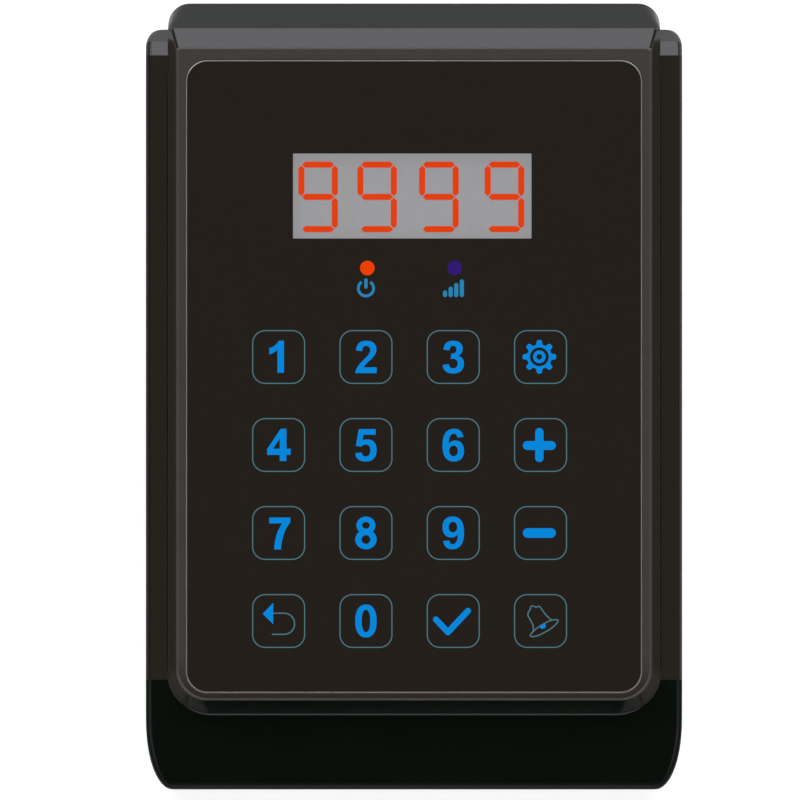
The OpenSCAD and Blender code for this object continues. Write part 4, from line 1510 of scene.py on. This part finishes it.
@dataclass
class BottomCover:
    """The matt tray under the housing, with screw wells, foot seats and an upstanding tongue."""

    form: HousingForm
    seam_step: float = 0.4
    bevel: float = 1.5
    floor_t: float = 2.0
    tongue_h: float = 1.6
    tongue_t: float = 1.2
    lay_gap: float = 0.2
    head_r: float = 3.0
    head_depth: float = 3.7
    hole_r: float = 1.65
    boss_r: float = 4.4
    post_r: float = 3.4
    post_foot: float = 5.3
    foot_r: float = 5.1
    foot_seat: float = 0.8
    bevel_mid: Point2 = (0.3, 0.55)
    chin_stop: Point3 = (60.0, 90.0, 20.0)
    chin_clear: float = 14.0

    def _solid(self, name: str, *levels: Point2) -> Piece:
        """A solid of the wings' and the pod's outlines through levels of height and inset.

        Args:
            name: Its name.
            levels: The height and the inset of each ring.

        Returns:
            The solid.
        """
        form, wings = self.form, []
        for z, inset in levels:
            side = [(form.wing_half(v) - inset, form.wing_y(v, inset), z) for v in form.stations]
            wings.append(side + [(-x, y, z) for x, y, z in side[::-1]])
        pod = [form.pod_base(*level) for level in levels]
        return combined(loft(name, wings), Combine.ADD, loft(name, pod))

    def build(self, posts: list[Point2], feet: list[Point2]) -> None:
        """Builds and dresses the cover.

        Args:
            posts: Where the housing screws are.
            feet: Where the feet are.
        """
        form = self.form
        low, seam, step, foot = form.foot_proud, form.seam_h, self.seam_step, self.post_foot
        floor = low + self.floor_t

        def pins(places: list[Point2], r: float, start: float, end: float) -> list[Piece]:
            """Upright round pins."""
            return [prism("pin", oval(at, r), start, end) for at in places]

        cover = self._solid(
            "matt_bottom_cover", (low, step + self.bevel),
            (low + self.bevel * self.bevel_mid[0], step + self.bevel_mid[1]),
            (low + self.bevel, step), (seam, step),
        )
        outer = form.wall + self.lay_gap
        inner = outer + self.tongue_t
        tongue = self._solid("tongue", (floor, outer), (seam + self.tongue_h, outer))
        x, y, z = self.chin_stop
        chin = box("chin_stop", (-x, -y, seam), (x, self.chin_clear - form.rear_y, z))
        cover = combined(cover, Combine.ADD, combined(tongue, Combine.CUT, chin))
        hollow = self._solid("hollow", (floor, inner), (seam + 2 * self.tongue_h, inner))
        cover = combined(cover, Combine.CUT, hollow)
        cover = combined(cover, Combine.ADD, *pins(posts, self.boss_r, low + 0.2, foot))
        holes = pins(posts, self.hole_r, self.head_depth - 0.1, foot + 0.1)
        holes += pins(feet, self.foot_r, -1, low + self.foot_seat)
        cover = combined(
            cover, Combine.CUT, *pins(posts, self.head_r, -1, self.head_depth),
            joined("cover_cuts", holes), *pins(posts, self.post_r + self.lay_gap, foot, seam + 5),
        )
        cover.name = "matt_bottom_cover"
        finished(smoothed(cover), MATT_COVER, "matt_cover")
        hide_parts("bottom_cover")


# ---- Touch panel ----


@dataclass
class KeyGrid:
    """The places of the 16 keys and the two indicator lamps on the face."""

    u: float = -0.6
    v: float = -18.6
    pitch_u: float = 17.46
    pitch_v: float = 17.6
    lamp_v: float = 25.6
    lamp_columns: tuple[int, int] = (1, 2)

    def column(self, i: float) -> float:
        """The u of column i, from 0 at the left."""
        return self.u + (i - 1.5) * self.pitch_u

    def place(self, i: int, j: int) -> Point2:
        """The place of the key in column i and row j, from the top left."""
        return self.column(i), (1.5 - j) * self.pitch_v + self.v

    def places(self) -> list[Point2]:
        """The places of all keys, row by row."""
        return [self.place(i, j) for j in range(4) for i in range(4)]

    def lamp_places(self) -> list[Point2]:
        """The places of the two lamps."""
        return [(self.column(i), self.lamp_v) for i in self.lamp_columns]


@dataclass
class TouchPanel:
    """The flat panel: a dark back-printed sheet, a painted highlight on its bevel, and clear
    windows.
    """

    face: Face
    keys: KeyGrid
    size: Point3 = (91.4, 126.7, 4.4)
    v: float = 3.9
    thickness: float = 2.0
    bevel: float = 0.3
    window: Point3 = (47.7, 17.0, 0.15)
    window_at: Point2 = (-0.35, 40.0)
    lamp_r: float = 1.46
    slack: float = 0.01
    bevel_mid: Point2 = (0.4, 0.08)
    bevel_lean: Point2 = (0.2, 0.98)

    def build(self) -> None:
        """Builds and dresses the sheet, the display window and the lamps' lenses."""
        width, length, radius = self.size
        levels = ((-self.thickness, 0), (-self.bevel, 0),
                  (-self.bevel * self.bevel_mid[0], self.bevel_mid[1]), (0, self.bevel))
        sheet = loft("printed_touch_sheet", [
            self.face.ring(
                round_rect(width - 2 * inset, length - 2 * inset, radius - inset, 16),
                w, (0, self.v),
            )
            for w, inset in levels
        ])
        low = -self.thickness - 0.1
        holes = [self.face.plug("window_hole", self._window(0.0), low, 0.1, self.window_at)]
        holes += [
            self.face.plug("lamp_hole", oval(at, self.lamp_r), low, 0.1)
            for at in self.keys.lamp_places()
        ]
        sheet = combined(sheet, Combine.CUT, joined("sheet_holes", holes))
        sheet.name = "printed_touch_sheet"
        finished(smoothed(sheet, 20), PANEL_PRINT, "panel")
        self._dress_edge(sheet)
        pane = self._insert("clear_display_pane", self._window(self.slack), self.window_at)
        finished(pane, WINDOW, "panel")
        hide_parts("touch_panel")
        lens = oval((0, 0), self.lamp_r - self.slack)
        names = (("power_lamp_lens", LAMP_ORANGE, "lamp_orange"),
                 ("signal_lamp_lens", LAMP_VIOLET, "lamp_violet"))
        for (name, finish, slot), at in zip(names, self.keys.lamp_places()):
            finished(smoothed(self._insert(name, lens, at)), finish, slot)

    def _window(self, inset: float) -> Outline:
        """The display window's outline, about its own middle."""
        width, length, radius = self.window
        return round_rect(width - 2 * inset, length - 2 * inset, radius, 3)

    def _insert(self, name: str, outline: Outline, at: Point2) -> Piece:
        """A clear part that fills an opening of the sheet, flush with it."""
        return self.face.plug(name, outline, -self.thickness, 0, at)

    def _dress_edge(self, sheet: Piece) -> None:
        """Gives the bevel round the sheet its painted highlight.

        Args:
            sheet: The dressed sheet.
        """
        sheet.data.materials.append(PANEL_EDGE_HIGHLIGHT.material())
        least, most = self.bevel_lean
        out = Vector(self.face.point(0, 0, 1)) - Vector(self.face.point(0, 0, 0))
        middle = Vector(self.face.point(0, self.v, 0)) * MM
        for side in sheet.data.polygons:
            outside = side.normal.dot(side.center - middle) > 0
            if outside and least < side.normal.dot(out) < most:
                side.material_index = 1


class Numerals:
    """The ten numerals of the keys, in a bold upright grotesque drawn for this console."""

    def sign(self, digit: int) -> Sign:
        """The sign of one numeral, about its middle."""
        makers = (self._zero, self._one, self._two, self._three, self._four,
                  self._five, self._six, self._seven, self._eight, self._nine)
        return makers[digit]()

    def _zero(self) -> Sign:
        """A tall ring."""
        return Sign([oval((0, 0), 2.14, 3.3, 2.3)], [oval((0, 0), 0.86, 2.26, 2.2)])

    def _one(self) -> Sign:
        """A stem with a short flag."""
        flag = bezier((0.02, 3.25), (-0.55, 2.15), (-1.88, 1.75), 6)
        under = bezier((-1.88, 0.5), (-0.9, 0.8), (-0.24, 1.45), 6)
        return Sign([[(-0.24, -3.15), (1.06, -3.15), (1.06, 3.25), *flag, *under]])

    def _two(self) -> Sign:
        """A bowl that runs down into a curved diagonal, on a foot.

        Returns:
            The sign.
        """
        return Sign([drawn(
            [(-2.15, -3.22)], [(2.15, -3.22)], [(2.15, -2.07)], [(-0.48, -2.07)],
            [(-0.2, -1.55), (0.72, -0.72)], [(2.02, 0.35), (2.1, 1.42)],
            [(2.08, 3.25), (0.02, 3.25)], [(-1.9, 3.22), (-1.98, 1.3)], [(-0.76, 1.18)],
            [(-0.68, 2.22), (0.0, 2.22)], [(0.84, 2.2), (0.86, 1.38)],
            [(0.82, 0.62), (-0.3, -0.42)], [(-1.95, -1.85), (-2.15, -3.22)],
        )])

    def _three(self) -> Sign:
        """Two bowls that meet at the middle.

        Returns:
            The sign.
        """
        return Sign([drawn(
            [(-1.96, 1.48)], [(-1.8, 3.27), (-0.02, 3.25)], [(1.88, 3.22), (1.88, 1.6)],
            [(1.84, 0.62), (0.98, 0.24)], [(2.12, -0.05), (2.14, -1.3)],
            [(2.05, -3.3), (-0.05, -3.3)], [(-1.98, -3.28), (-2.1, -1.6)], [(-0.88, -1.42)],
            [(-0.74, -2.28), (-0.05, -2.28)], [(0.86, -2.24), (0.88, -1.32)],
            [(0.84, -0.34), (-0.02, -0.34)], [(-0.3, -0.34), (-0.52, -0.44)], [(-0.38, 0.68)],
            [(0.62, 0.64), (0.64, 1.48)], [(0.6, 2.24), (-0.06, 2.24)],
            [(-0.64, 2.22), (-0.76, 1.32)],
        )])

    def _four(self) -> Sign:
        """A stem, a bar and a slanted stroke round a three-cornered counter."""
        outer = [(0.22, -3.2), (1.56, -3.2), (1.56, -1.98), (2.4, -1.98), (2.4, -0.75),
                 (1.56, -0.75), (1.56, 3.24), (0.42, 3.24), (-2.3, -0.8), (-2.3, -1.98),
                 (0.22, -1.98)]
        return Sign([outer], [[(0.22, -0.75), (0.22, 1.3), (-1.13, -0.75)]])

    def _five(self) -> Sign:
        """A top bar, a short stem and a bowl.

        Returns:
            The sign.
        """
        return Sign([drawn(
            [(-1.42, 3.18)], [(-2.02, -0.18)], [(-0.94, -0.36)], [(-0.6, 0.08), (-0.04, 0.08)],
            [(0.86, 0.06), (0.88, -1.06)], [(0.86, -2.28), (-0.06, -2.3)],
            [(-0.72, -2.28), (-0.88, -1.5)], [(-2.14, -1.64)], [(-1.98, -3.3), (-0.05, -3.3)],
            [(2.1, -3.3), (2.14, -0.98)], [(2.1, 1.08), (0.28, 1.12)],
            [(-0.3, 1.14), (-0.72, 0.84)], [(-0.48, 2.05)], [(1.95, 2.05)], [(1.95, 3.18)],
        )])

    def _six(self) -> Sign:
        """A closed bowl with a curved back.

        Returns:
            The sign.
        """
        outline = drawn(
            [(2.02, 1.62)], [(1.74, 3.27), (0.14, 3.25)], [(-2.16, 3.2), (-2.16, -0.1)],
            [(-2.14, -3.28), (0.08, -3.3)], [(2.12, -3.26), (2.16, -1.18)],
            [(2.1, 0.88), (0.32, 0.9)], [(-0.42, 0.88), (-0.94, 0.26)],
            [(-0.86, 2.24), (0.14, 2.26)], [(0.68, 2.24), (0.82, 1.48)],
        )
        return Sign([outline], [oval((0.06, -1.18), 0.86, 1.06, 2.1)])

    def _seven(self) -> Sign:
        """A top bar and a curved stem."""
        right = bezier((2.32, 2.1), (0.7, 0.2), (0.45, -3.3), 10)
        left = bezier((-0.9, -3.3), (-0.75, -0.1), (0.72, 1.92), 10)
        return Sign([[(-1.88, 3.1), (-1.88, 1.92), *left[::-1][:1], *left[-2::-1], *right[::-1],
                      (2.32, 3.1)]])

    def _eight(self) -> Sign:
        """Two closed bowls."""
        return Sign(
            [oval((0, 1.52), 1.9, 1.76), oval((0, -1.28), 2.14, 1.98)],
            [oval((0, 1.54), 0.76, 0.68), oval((0, -1.3), 0.88, 0.88)],
        )

    def _nine(self) -> Sign:
        """The six, turned over."""
        return self._six().at(0, 0, -1)


@dataclass
class KeySigns:
    """The signs that aren't numerals: settings, plus, minus, back, confirm, call and lamps."""

    fine_line: float = 0.24

    def gear(self) -> list[Sign]:
        """A toothed ring, and a small ring inside it.

        Returns:
            The two rings.
        """
        teeth, steps, root, tip, steepness = 8, 96, 2.46, 3.36, 2.2
        outline: Outline = []
        for k in range(steps):
            t = 2 * math.pi * (k + 0.5) / steps
            wave = math.cos(teeth * (t - math.pi / 2))
            share = 0.5 + 0.5 * max(-1.0, min(1.0, steepness * wave))
            r = root + (tip - root) * share
            outline.append((r * math.cos(t), r * math.sin(t)))
        return [
            Sign([outline], [oval((0, 0), 1.88)]).at(-0.24, 0.04),
            Sign([oval((0, 0), 1.27)], [oval((0, 0), 0.56)]).at(-0.24, 0.04),
        ]

    def plus(self) -> Sign:
        """Two crossed bars with round ends."""
        level = bar((-2.42, -0.1), (2.42, -0.1), 1.78)
        upright = bar((0, -2.58), (0, 2.58), 1.68)
        return Sign([level, upright]).at(-0.24, 0.0)

    def minus(self) -> Sign:
        """One level bar with round ends."""
        return Sign([bar((-2.33, 0), (2.33, 0), 1.94)]).at(-0.24, 0.0)

    def back_head(self) -> Sign:
        """The arrowhead of the back sign."""
        return Sign([[(-3.2, 1.44), (-1.08, -0.64), (-1.08, 3.66)]])

    def back_hook(self) -> Sign:
        """The fine hook behind the arrowhead of the back sign.

        Returns:
            The sign.
        """
        w = self.fine_line
        turn = arc_band((1.14, -0.55), 2.05, 2.11, -90, 90, w)
        upper = bar((-1.08, 1.56), (1.14, 1.56), w, rounded=False)
        lower = bar((-1.26, -2.66), (1.14, -2.66), w)
        return Sign([turn, upper, lower])

    def confirm(self) -> Sign:
        """A tick."""
        corner = (-1.06, -2.24)
        return Sign([bar((-3.46, 0.3), corner, 1.2), bar(corner, (2.94, 2.02), 1.2)])

    def clapper(self) -> Sign:
        """The bell's clapper, a tilted oval.

        Returns:
            The sign.
        """
        lean = math.radians(28)
        return Sign([[
            (0.5 + x * math.cos(lean) - y * math.sin(lean),
             -1.09 + x * math.sin(lean) + y * math.cos(lean))
            for x, y in oval((0, 0), 0.62, 0.42)
        ]])

    def bell(self) -> Sign:
        """The fine outline of a tilted bell with a waved crown and an open rim.

        Returns:
            The sign.
        """
        w = self.fine_line
        lines = (
            drawn([(-1.64, 3.02)], [(-2.08, 3.0), (-2.0, 2.4)], [(-2.72, 1.5), (-2.5, 1.0)],
                  [(-1.5, -0.6), (-1.46, -1.1)], [(-1.4, -1.9), (-1.64, -2.3)]),
            drawn([(-1.64, 3.02)], [(-1.15, 2.95), (-0.9, 2.68)], [(-0.3, 3.2), (0.05, 2.65)],
                  [(0.9, 1.2), (2.2, 0.16)]),
            drawn([(-1.64, -2.3)], [(-2.3, -2.9), (-1.9, -3.1)], [(-0.9, -3.3), (1.2, -2.05)],
                  [(2.9, -1.1), (3.45, -0.1)], [(3.8, 0.45), (2.2, 0.16)],
                  [(-0.3, -0.8), (-1.62, -2.28)]),
        )
        return Sign([
            bar(a, b, w, steps=5) for line in lines for a, b in zip(line, line[1:])
        ])

    def power(self) -> Sign:
        """A ring that is open at the top, with an upright bar in it."""
        return Sign([
            arc_band((0, 0), 1.53, 1.53, 125, 415, 0.56, 36),
            bar((0, 0.25), (0, 1.66), 0.66),
        ])

    def signal(self) -> Sign:
        """Four bars of rising height.

        Returns:
            The sign.
        """
        width, foot = 0.84, -1.76
        tops = (-0.42, 0.34, 1.06, 1.8)
        centres = (-1.64, -0.52, 0.6, 1.72)
        r = width / 2
        return Sign([bar((x, foot + r), (x, top - r), width) for x, top in zip(centres, tops)])


@dataclass
class Legends:
    """The lit legends of the panel: key frames, numerals and signs."""

    face: Face
    keys: KeyGrid
    proud: float = 0.012
    depth: float = 0.3
    frame: Point3 = (10.6, 10.76, 2.6)
    frame_line: float = 0.21
    print_shift: float = -0.28
    numerals: Numerals = field(default_factory=Numerals)
    signs: KeySigns = field(default_factory=KeySigns)
    lamp_sign_drop: float = 4.06

    def build(self) -> None:
        """Builds and dresses every legend."""
        signs, place = self.signs, self.keys.place
        bright: dict[str, tuple[Point2, list[Sign]]] = {
            f"numeral_{d}": (place((d - 1) % 3, (d - 1) // 3), [self.numerals.sign(d)])
            for d in range(1, 10)
        }
        bright |= {
            "numeral_0": (place(1, 3), [self.numerals.sign(0)]),
            "sign_settings": (place(3, 0), signs.gear()),
            "sign_plus": (place(3, 1), [signs.plus()]),
            "sign_minus": (place(3, 2), [signs.minus()]),
            "sign_back_head": (place(0, 3), [signs.back_head()]),
            "sign_confirm": (place(2, 3), [signs.confirm()]),
            "sign_bell_clapper": (place(3, 3), [signs.clapper()]),
        }
        fine = {
            "sign_back_hook": (place(0, 3), [signs.back_hook()]),
            "sign_bell": (place(3, 3), [signs.bell()]),
        } | {
            f"key_frame_{j + 1}_{i + 1}": (place(i, j), [self._frame()])
            for j in range(4) for i in range(4)
        }
        drop = self.lamp_sign_drop
        under = [(u, v - drop) for u, v in self.keys.lamp_places()]
        icons = {
            "sign_power": (under[0], [signs.power()]), "sign_signal": (under[1], [signs.signal()])
        }
        for group, finish in (
            (bright, LEGEND_BRIGHT), (fine, LEGEND_FRAME), (icons, LEGEND_ICON)
        ):
            for name, ((u, v), made) in group.items():
                shapes = [sign.at(u + self.print_shift, v) for sign in made]
                piece = plate(name, shapes, -self.depth, self.proud)
                finished(moved(piece, self.face.matrix()), finish, "panel")

    def _frame(self) -> Sign:
        """The outline of one key."""
        width, length, radius = self.frame
        line = self.frame_line
        inner = round_rect(width - 2 * line, length - 2 * line, radius - line)
        return Sign([round_rect(width, length, radius)], [inner])


# ---- Display ----


@dataclass
class SegmentDisplay:
    """Four digits of seven bars and a point, on the grey face of the display module."""

    face: Face
    v: float = 39.84
    digit: Point2 = (7.9, 14.1)
    places: tuple[float, ...] = (-19.18, -7.38, 4.98, 18.1)
    bar_w: float = 1.2
    gap: float = 0.3
    point_r: float = 0.65
    base: float = -2.3
    thickness: float = 0.15

    def build(self) -> None:
        """Builds the bars: lit ones that say 9999, and the rest unlit."""
        lit: list[Sign] = []
        unlit: list[Sign] = []
        across, up = self.digit[0] - self.bar_w, (self.digit[1] - self.bar_w) / 2
        for u in self.places:
            lit += [self._bar(across, False).at(u, self.v + j * up) for j in (-1, 0, 1)]
            for side, j in ((-1, -1), (-1, 1), (1, -1), (1, 1)):
                group = unlit if side == j == -1 else lit
                group.append(self._bar(up, True).at(u + side * across / 2, self.v + j * up / 2))
            dot = oval((self.digit[0] / 2 + 2 * self.point_r, -up), self.point_r)
            unlit.append(Sign([dot]).at(u, self.v))
        # the unlit bars carry the display face's painted glow
        for name, signs, finish in (
            ("lit_segments", lit, LIT_SEGMENT), ("unlit_segments", unlit, UNLIT_SEGMENT_PAINTED_GLOW)
        ):
            piece = plate(name, signs, self.base, self.base + self.thickness)
            finished(moved(piece, self.face.matrix()), finish, "segment_orange")
            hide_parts("display_segments")

    def _bar(self, length: float, upright: bool) -> Sign:
        """One bar with its ends cut to points.

        Args:
            length: Its length.
            upright: Whether it stands.

        Returns:
            Its sign.
        """
        a, b = length / 2 - self.gap / 2, self.bar_w / 2
        level = [(-a, 0), (b - a, -b), (a - b, -b), (a, 0), (a - b, b), (b - a, b)]
        return Sign([[(-y, x) for x, y in level] if upright else level])


# ---- Rear bay and underside ----


@dataclass
class SwitchMarks:
    """The on and off marks on the rocker's two faces."""

    form: HousingForm
    bay: ConnectorBay
    flange_t: float = 1.2
    axle_d: float = 4.0
    turn: float = 9.0
    middle: float = 4.2
    mark_x: float = 3.3
    line: Point2 = (0.2, 1.3)
    ring: Point2 = (1.25, 0.85)
    proud: float = 0.03
    sunk: float = 0.1

    def build(self) -> None:
        """Builds both marks, which ride with the rocker."""
        half, tall = self.line
        on = Sign([[(-half, -tall), (half, -tall), (half, tall), (-half, tall)]])
        off = Sign(*([oval((0, 0), r)] for r in self.ring))
        for name, sign, side in (("rocker_on_mark", on, 1), ("rocker_off_mark", off, -1)):
            piece = moved(plate(name, [sign], -self.sunk, self.proud), self._seat(side))
            finished(piece, SIGN_WHITE, "rocker_black", "rocker")

    def _seat(self, side: int) -> Matrix:
        """Where a mark lies: on the rocker's sloping face on one side of its axle.

        Args:
            side: 1 for the side of larger X, and -1 for the other.

        Returns:
            Its place in the object's frame.
        """
        lean = math.radians(self.turn)
        axle_y = self.form.rear_y - self.bay.depth + self.flange_t - self.axle_d
        pivot = offset(self.bay.switch_x, axle_y, self.bay.middle_z)
        outward = Matrix.Rotation(-math.pi / 2, 4, "X")
        rest = Matrix.Rotation(lean, 4, "Y")
        on_face = offset(side * self.mark_x, 0, self.middle + self.mark_x * math.tan(lean))
        return pivot @ outward @ rest @ on_face @ Matrix.Rotation(-side * lean, 4, "Y")


@dataclass
class HousingScrews:
    """The four screws of the underside, with crossed recesses in their pan heads."""

    head_r: float = 2.8
    head_h: float = 1.8
    crown_share: float = 0.6
    dome_share: float = 0.45
    shank_r: float = 1.2
    length: float = 8.0
    seat: float = 3.7
    recess_w: float = 0.75
    recess_l: float = 3.0
    recess_d: float = 1.1
    recess_taper: float = 0.55

    def build(self, places: list[Point2]) -> None:
        """Builds and dresses the screws as one piece.

        Args:
            places: Where they stand.
        """
        made = [moved(self._screw(), offset(x, y, self.seat)) for x, y in places]
        piece = finished(
            smoothed(joined("cross_head_screws", made), 35), SCREW_STEEL, "tinned_steel"
        )
        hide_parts("housing_screws")

    def _screw(self) -> Piece:
        """One screw, with its head below the origin.

        Returns:
            The screw.
        """
        r, h, flat, rise = self.head_r, self.head_h, self.crown_share, self.dome_share
        dome = [
            (r * (flat + (1 - flat) * math.sin(t)), -h + rise * h * (1 - math.cos(t)))
            for t in (math.radians(a) for a in range(0, 91, 15))
        ]
        shank = self.shank_r
        screw = turned("screw", [
            (0.0, -h), *dome, (r, 0), (shank, 0), (shank, self.length - shank), (0.0, self.length)
        ])
        w, long = self.recess_w / 2, self.recess_l / 2
        for a, b in ((long, w), (w, long)):
            cross = [(-a, -b), (a, -b), (a, b), (-a, b)]
            levels = ((1.0, -h - 0.1), (self.recess_taper, -h + self.recess_d))
            cutter = loft("cross", [[(x * s, y * s, z) for x, y in cross] for s, z in levels])
            screw = combined(screw, Combine.CUT, cutter)
        return screw


# ---- Studio ----


@dataclass
class Studio:
    """A pale floor, soft light from the corners and the rear, and the camera over the face."""

    face: Face
    floor_shade: Colour = (0.45, 0.45, 0.475)
    floor_glow: float = 0.77
    floor_size: float = 12.0
    camera_distance: float = 5333.3
    lens: float = 1200.0
    aim: Point2 = (-2.8, -0.8)
    dusk: Point2 = (0.12, 0.62)
    horizon: float = 0.9
    zenith: float = 0.06
    lamp_reach: float = 1.8
    card_gap: float = 0.7

    def build(self) -> None:
        """Builds the floor, the world, the lamps and the camera."""
        self._floor()
        self._world()
        self._lamps()
        self._camera()
        bpy.context.scene.view_settings.view_transform = "Standard"

    def _floor(self) -> None:
        """A level floor that reads white to the camera and keeps the shadow."""
        r = self.floor_size / 2 / MM
        corners = [(-r, -r, 0), (r, -r, 0), (r, r, 0), (-r, r, 0)]
        floor = mesh_piece("studio_floor", corners, [(0, 1, 2, 3)])
        material, graph, nodes = new_material("studio_floor")
        seen = graph.add("LightPath", "Is Camera Ray")
        graph.feed(nodes["Principled BSDF"], {
            "Base Color": solid(self.floor_shade), "Roughness": 0.9, "Specular IOR Level": 0.1,
            "Emission Color": solid((1, 1, 1)),
            "Emission Strength": graph.sum(Sum.TIMES, seen, self.floor_glow),
        })
        floor.data.materials.append(material)
        LOG.info("made studio floor")

    def _world(self) -> None:
        """Pale at the horizon and dark overhead, and plain white where the camera sees it."""
        world = bpy.data.worlds.new("pale_studio")
        bpy.context.scene.world = world
        world.use_nodes = True
        graph = Graph(world.node_tree)
        rise = graph.axis(graph.add("TexCoord", "Generated"), "Z")
        light = graph.ramp(rise, self.dusk, (self.horizon, self.zenith), soft=True)
        strength = graph.sum(Sum.LARGER, light, graph.add("LightPath", "Is Camera Ray"))
        graph.feed(world.node_tree.nodes["Background"], {"Strength": strength})

    def _lamp(
        self, name: str, at: Point3, size: Point2, radiance: float, tint: Colour = (1, 1, 1)
    ) -> None:
        """A soft rectangular lamp that faces the console.

        Args:
            name: The lamp's name.
            at: Where it stands, in metres.
            size: Its width and height, in metres.
            radiance: How bright its face is, where 1 is white.
            tint: The light's colour.
        """
        light = bpy.data.lights.new(name, "AREA")
        light.shape = "RECTANGLE"
        light.size, light.size_y = size
        light.energy = radiance * size[0] * size[1] * math.pi
        light.color = tint
        lamp = placed(name, light)
        lamp.location = at
        lamp.rotation_mode = "QUATERNION"
        lamp.rotation_quaternion = (-Vector(at)).to_track_quat("-Z", "Y")

    def _lamps(self) -> None:
        """Four corner lamps, two low lamps and a dim warm card behind the camera."""
        for end, azimuth, rise, radiance in (("rear", 42, 42, 3.8), ("front", 135, 38, 1.7)):
            for hand, side in (("left", -1), ("right", 1)):
                at = self._out(side * azimuth, rise)
                self._lamp(f"{end}_{hand}_softbox", at, (1.25, 1.1), radiance)
        self._lamp("rear_low_softbox", self._out(0, 20), (1.7, 0.62), 3.2, (1.0, 0.98, 1.06))
        self._lamp("front_low_softbox", self._out(180, 17), (1.5, 0.5), 1.9)
        up = Vector((0, -math.sin(self.face.tilt), math.cos(self.face.tilt)))
        over = up * (self.camera_distance * MM + self.card_gap)
        self._lamp("overhead_card", tuple(over), (8.4, 2.6), 0.5, (1.0, 0.74, 0.57))

    def _out(self, azimuth: float, rise: float) -> Point3:
        """A place out from the console.

        Args:
            azimuth: The angle from the rear, in degrees.
            rise: The angle over the desk, in degrees.

        Returns:
            The place, in metres.
        """
        a, e = math.radians(azimuth), math.radians(rise)
        r = self.lamp_reach * math.cos(e)
        return r * math.sin(a), r * math.cos(a), self.lamp_reach * math.sin(e)

    def _camera(self) -> None:
        """The camera, square to the face and far off, with a long lens."""
        data = bpy.data.cameras.new("face_camera")
        data.lens = self.lens
        data.sensor_width = 36.0
        data.clip_start, data.clip_end = 0.1, 20.0
        camera = placed("face_camera", data)
        camera.location = Vector(self.face.point(*self.aim, self.camera_distance)) * MM
        camera.rotation_euler = (self.face.tilt, 0, 0)
        bpy.context.scene.camera = camera


# ---- Console ----


@dataclass
class Console:
    """The whole console."""

    form: HousingForm = field(default_factory=HousingForm)
    bay: ConnectorBay = field(default_factory=ConnectorBay)
    keys: KeyGrid = field(default_factory=KeyGrid)
    screw_in: float = 6.2
    screw_front: float = 17.0
    screw_rear: float = 20.0
    foot_x: float = 42.0
    foot_in: float = 8.4
    board: Point2 = (86.0, 108.0)
    board_screw_in: float = 4.0
    board_screw_end: float = 5.0
    board_pillar_r: float = 3.0
    key_clear: float = 3.0

    def screw_places(self) -> list[Point2]:
        """Where the four housing screws stand."""
        x, rear = self.form.body_w / 2 - self.screw_in, self.form.rear_y
        ends = (self.screw_front - rear, rear - self.screw_rear)
        return [(side * x, y) for side in (-1, 1) for y in ends]

    def foot_places(self) -> list[Point2]:
        """Where the four feet stand."""
        y = self.form.rear_y - self.foot_in
        return [(i * self.foot_x, j * y) for i in (-1, 1) for j in (-1, 1)]

    def pillar_places(self) -> list[Point2]:
        """Where the board's six pillars stand, in the face's frame."""
        u = self.board[0] / 2 - self.board_screw_in
        end = self.board[1] / 2 - self.board_screw_end
        middle = self.keys.lamp_v - self.key_clear - self.board_pillar_r
        return [(s * u, v) for s in (-1, 1) for v in (-end, middle, end)]

    def build(self) -> None:
        """Builds every sub-assembly, in order."""
        face = self.form.face
        TopShell(self.form, self.bay).build(self.keys, self.screw_places(), self.pillar_places())
        BottomCover(self.form).build(self.screw_places(), self.foot_places())
        TouchPanel(face, self.keys).build()
        Legends(face, self.keys).build()
        SegmentDisplay(face).build()
        SwitchMarks(self.form, self.bay).build()
        HousingScrews().build(self.screw_places())


def dress_nodes(nodes: dict[str, Piece]) -> None:
    """Gives every carried-over node its finish.

    Args:
        nodes: The frame's nodes, by name.
    """
    for name, piece in nodes.items():
        for slot in piece.material_slots:
            slot.material = NODE_FINISHES[name].material()
        LOG.info("dressed %s: %s", name, NODE_FINISHES[name].name)


def main() -> None:
    """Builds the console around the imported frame."""
    logging.basicConfig(level=logging.INFO, format="%(name)s: %(message)s")
    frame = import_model()
    dress_nodes(frame["nodes"])
    console = Console()
    console.build()
    Studio(console.form.face).build()


if __name__ == "__main__":
    main()
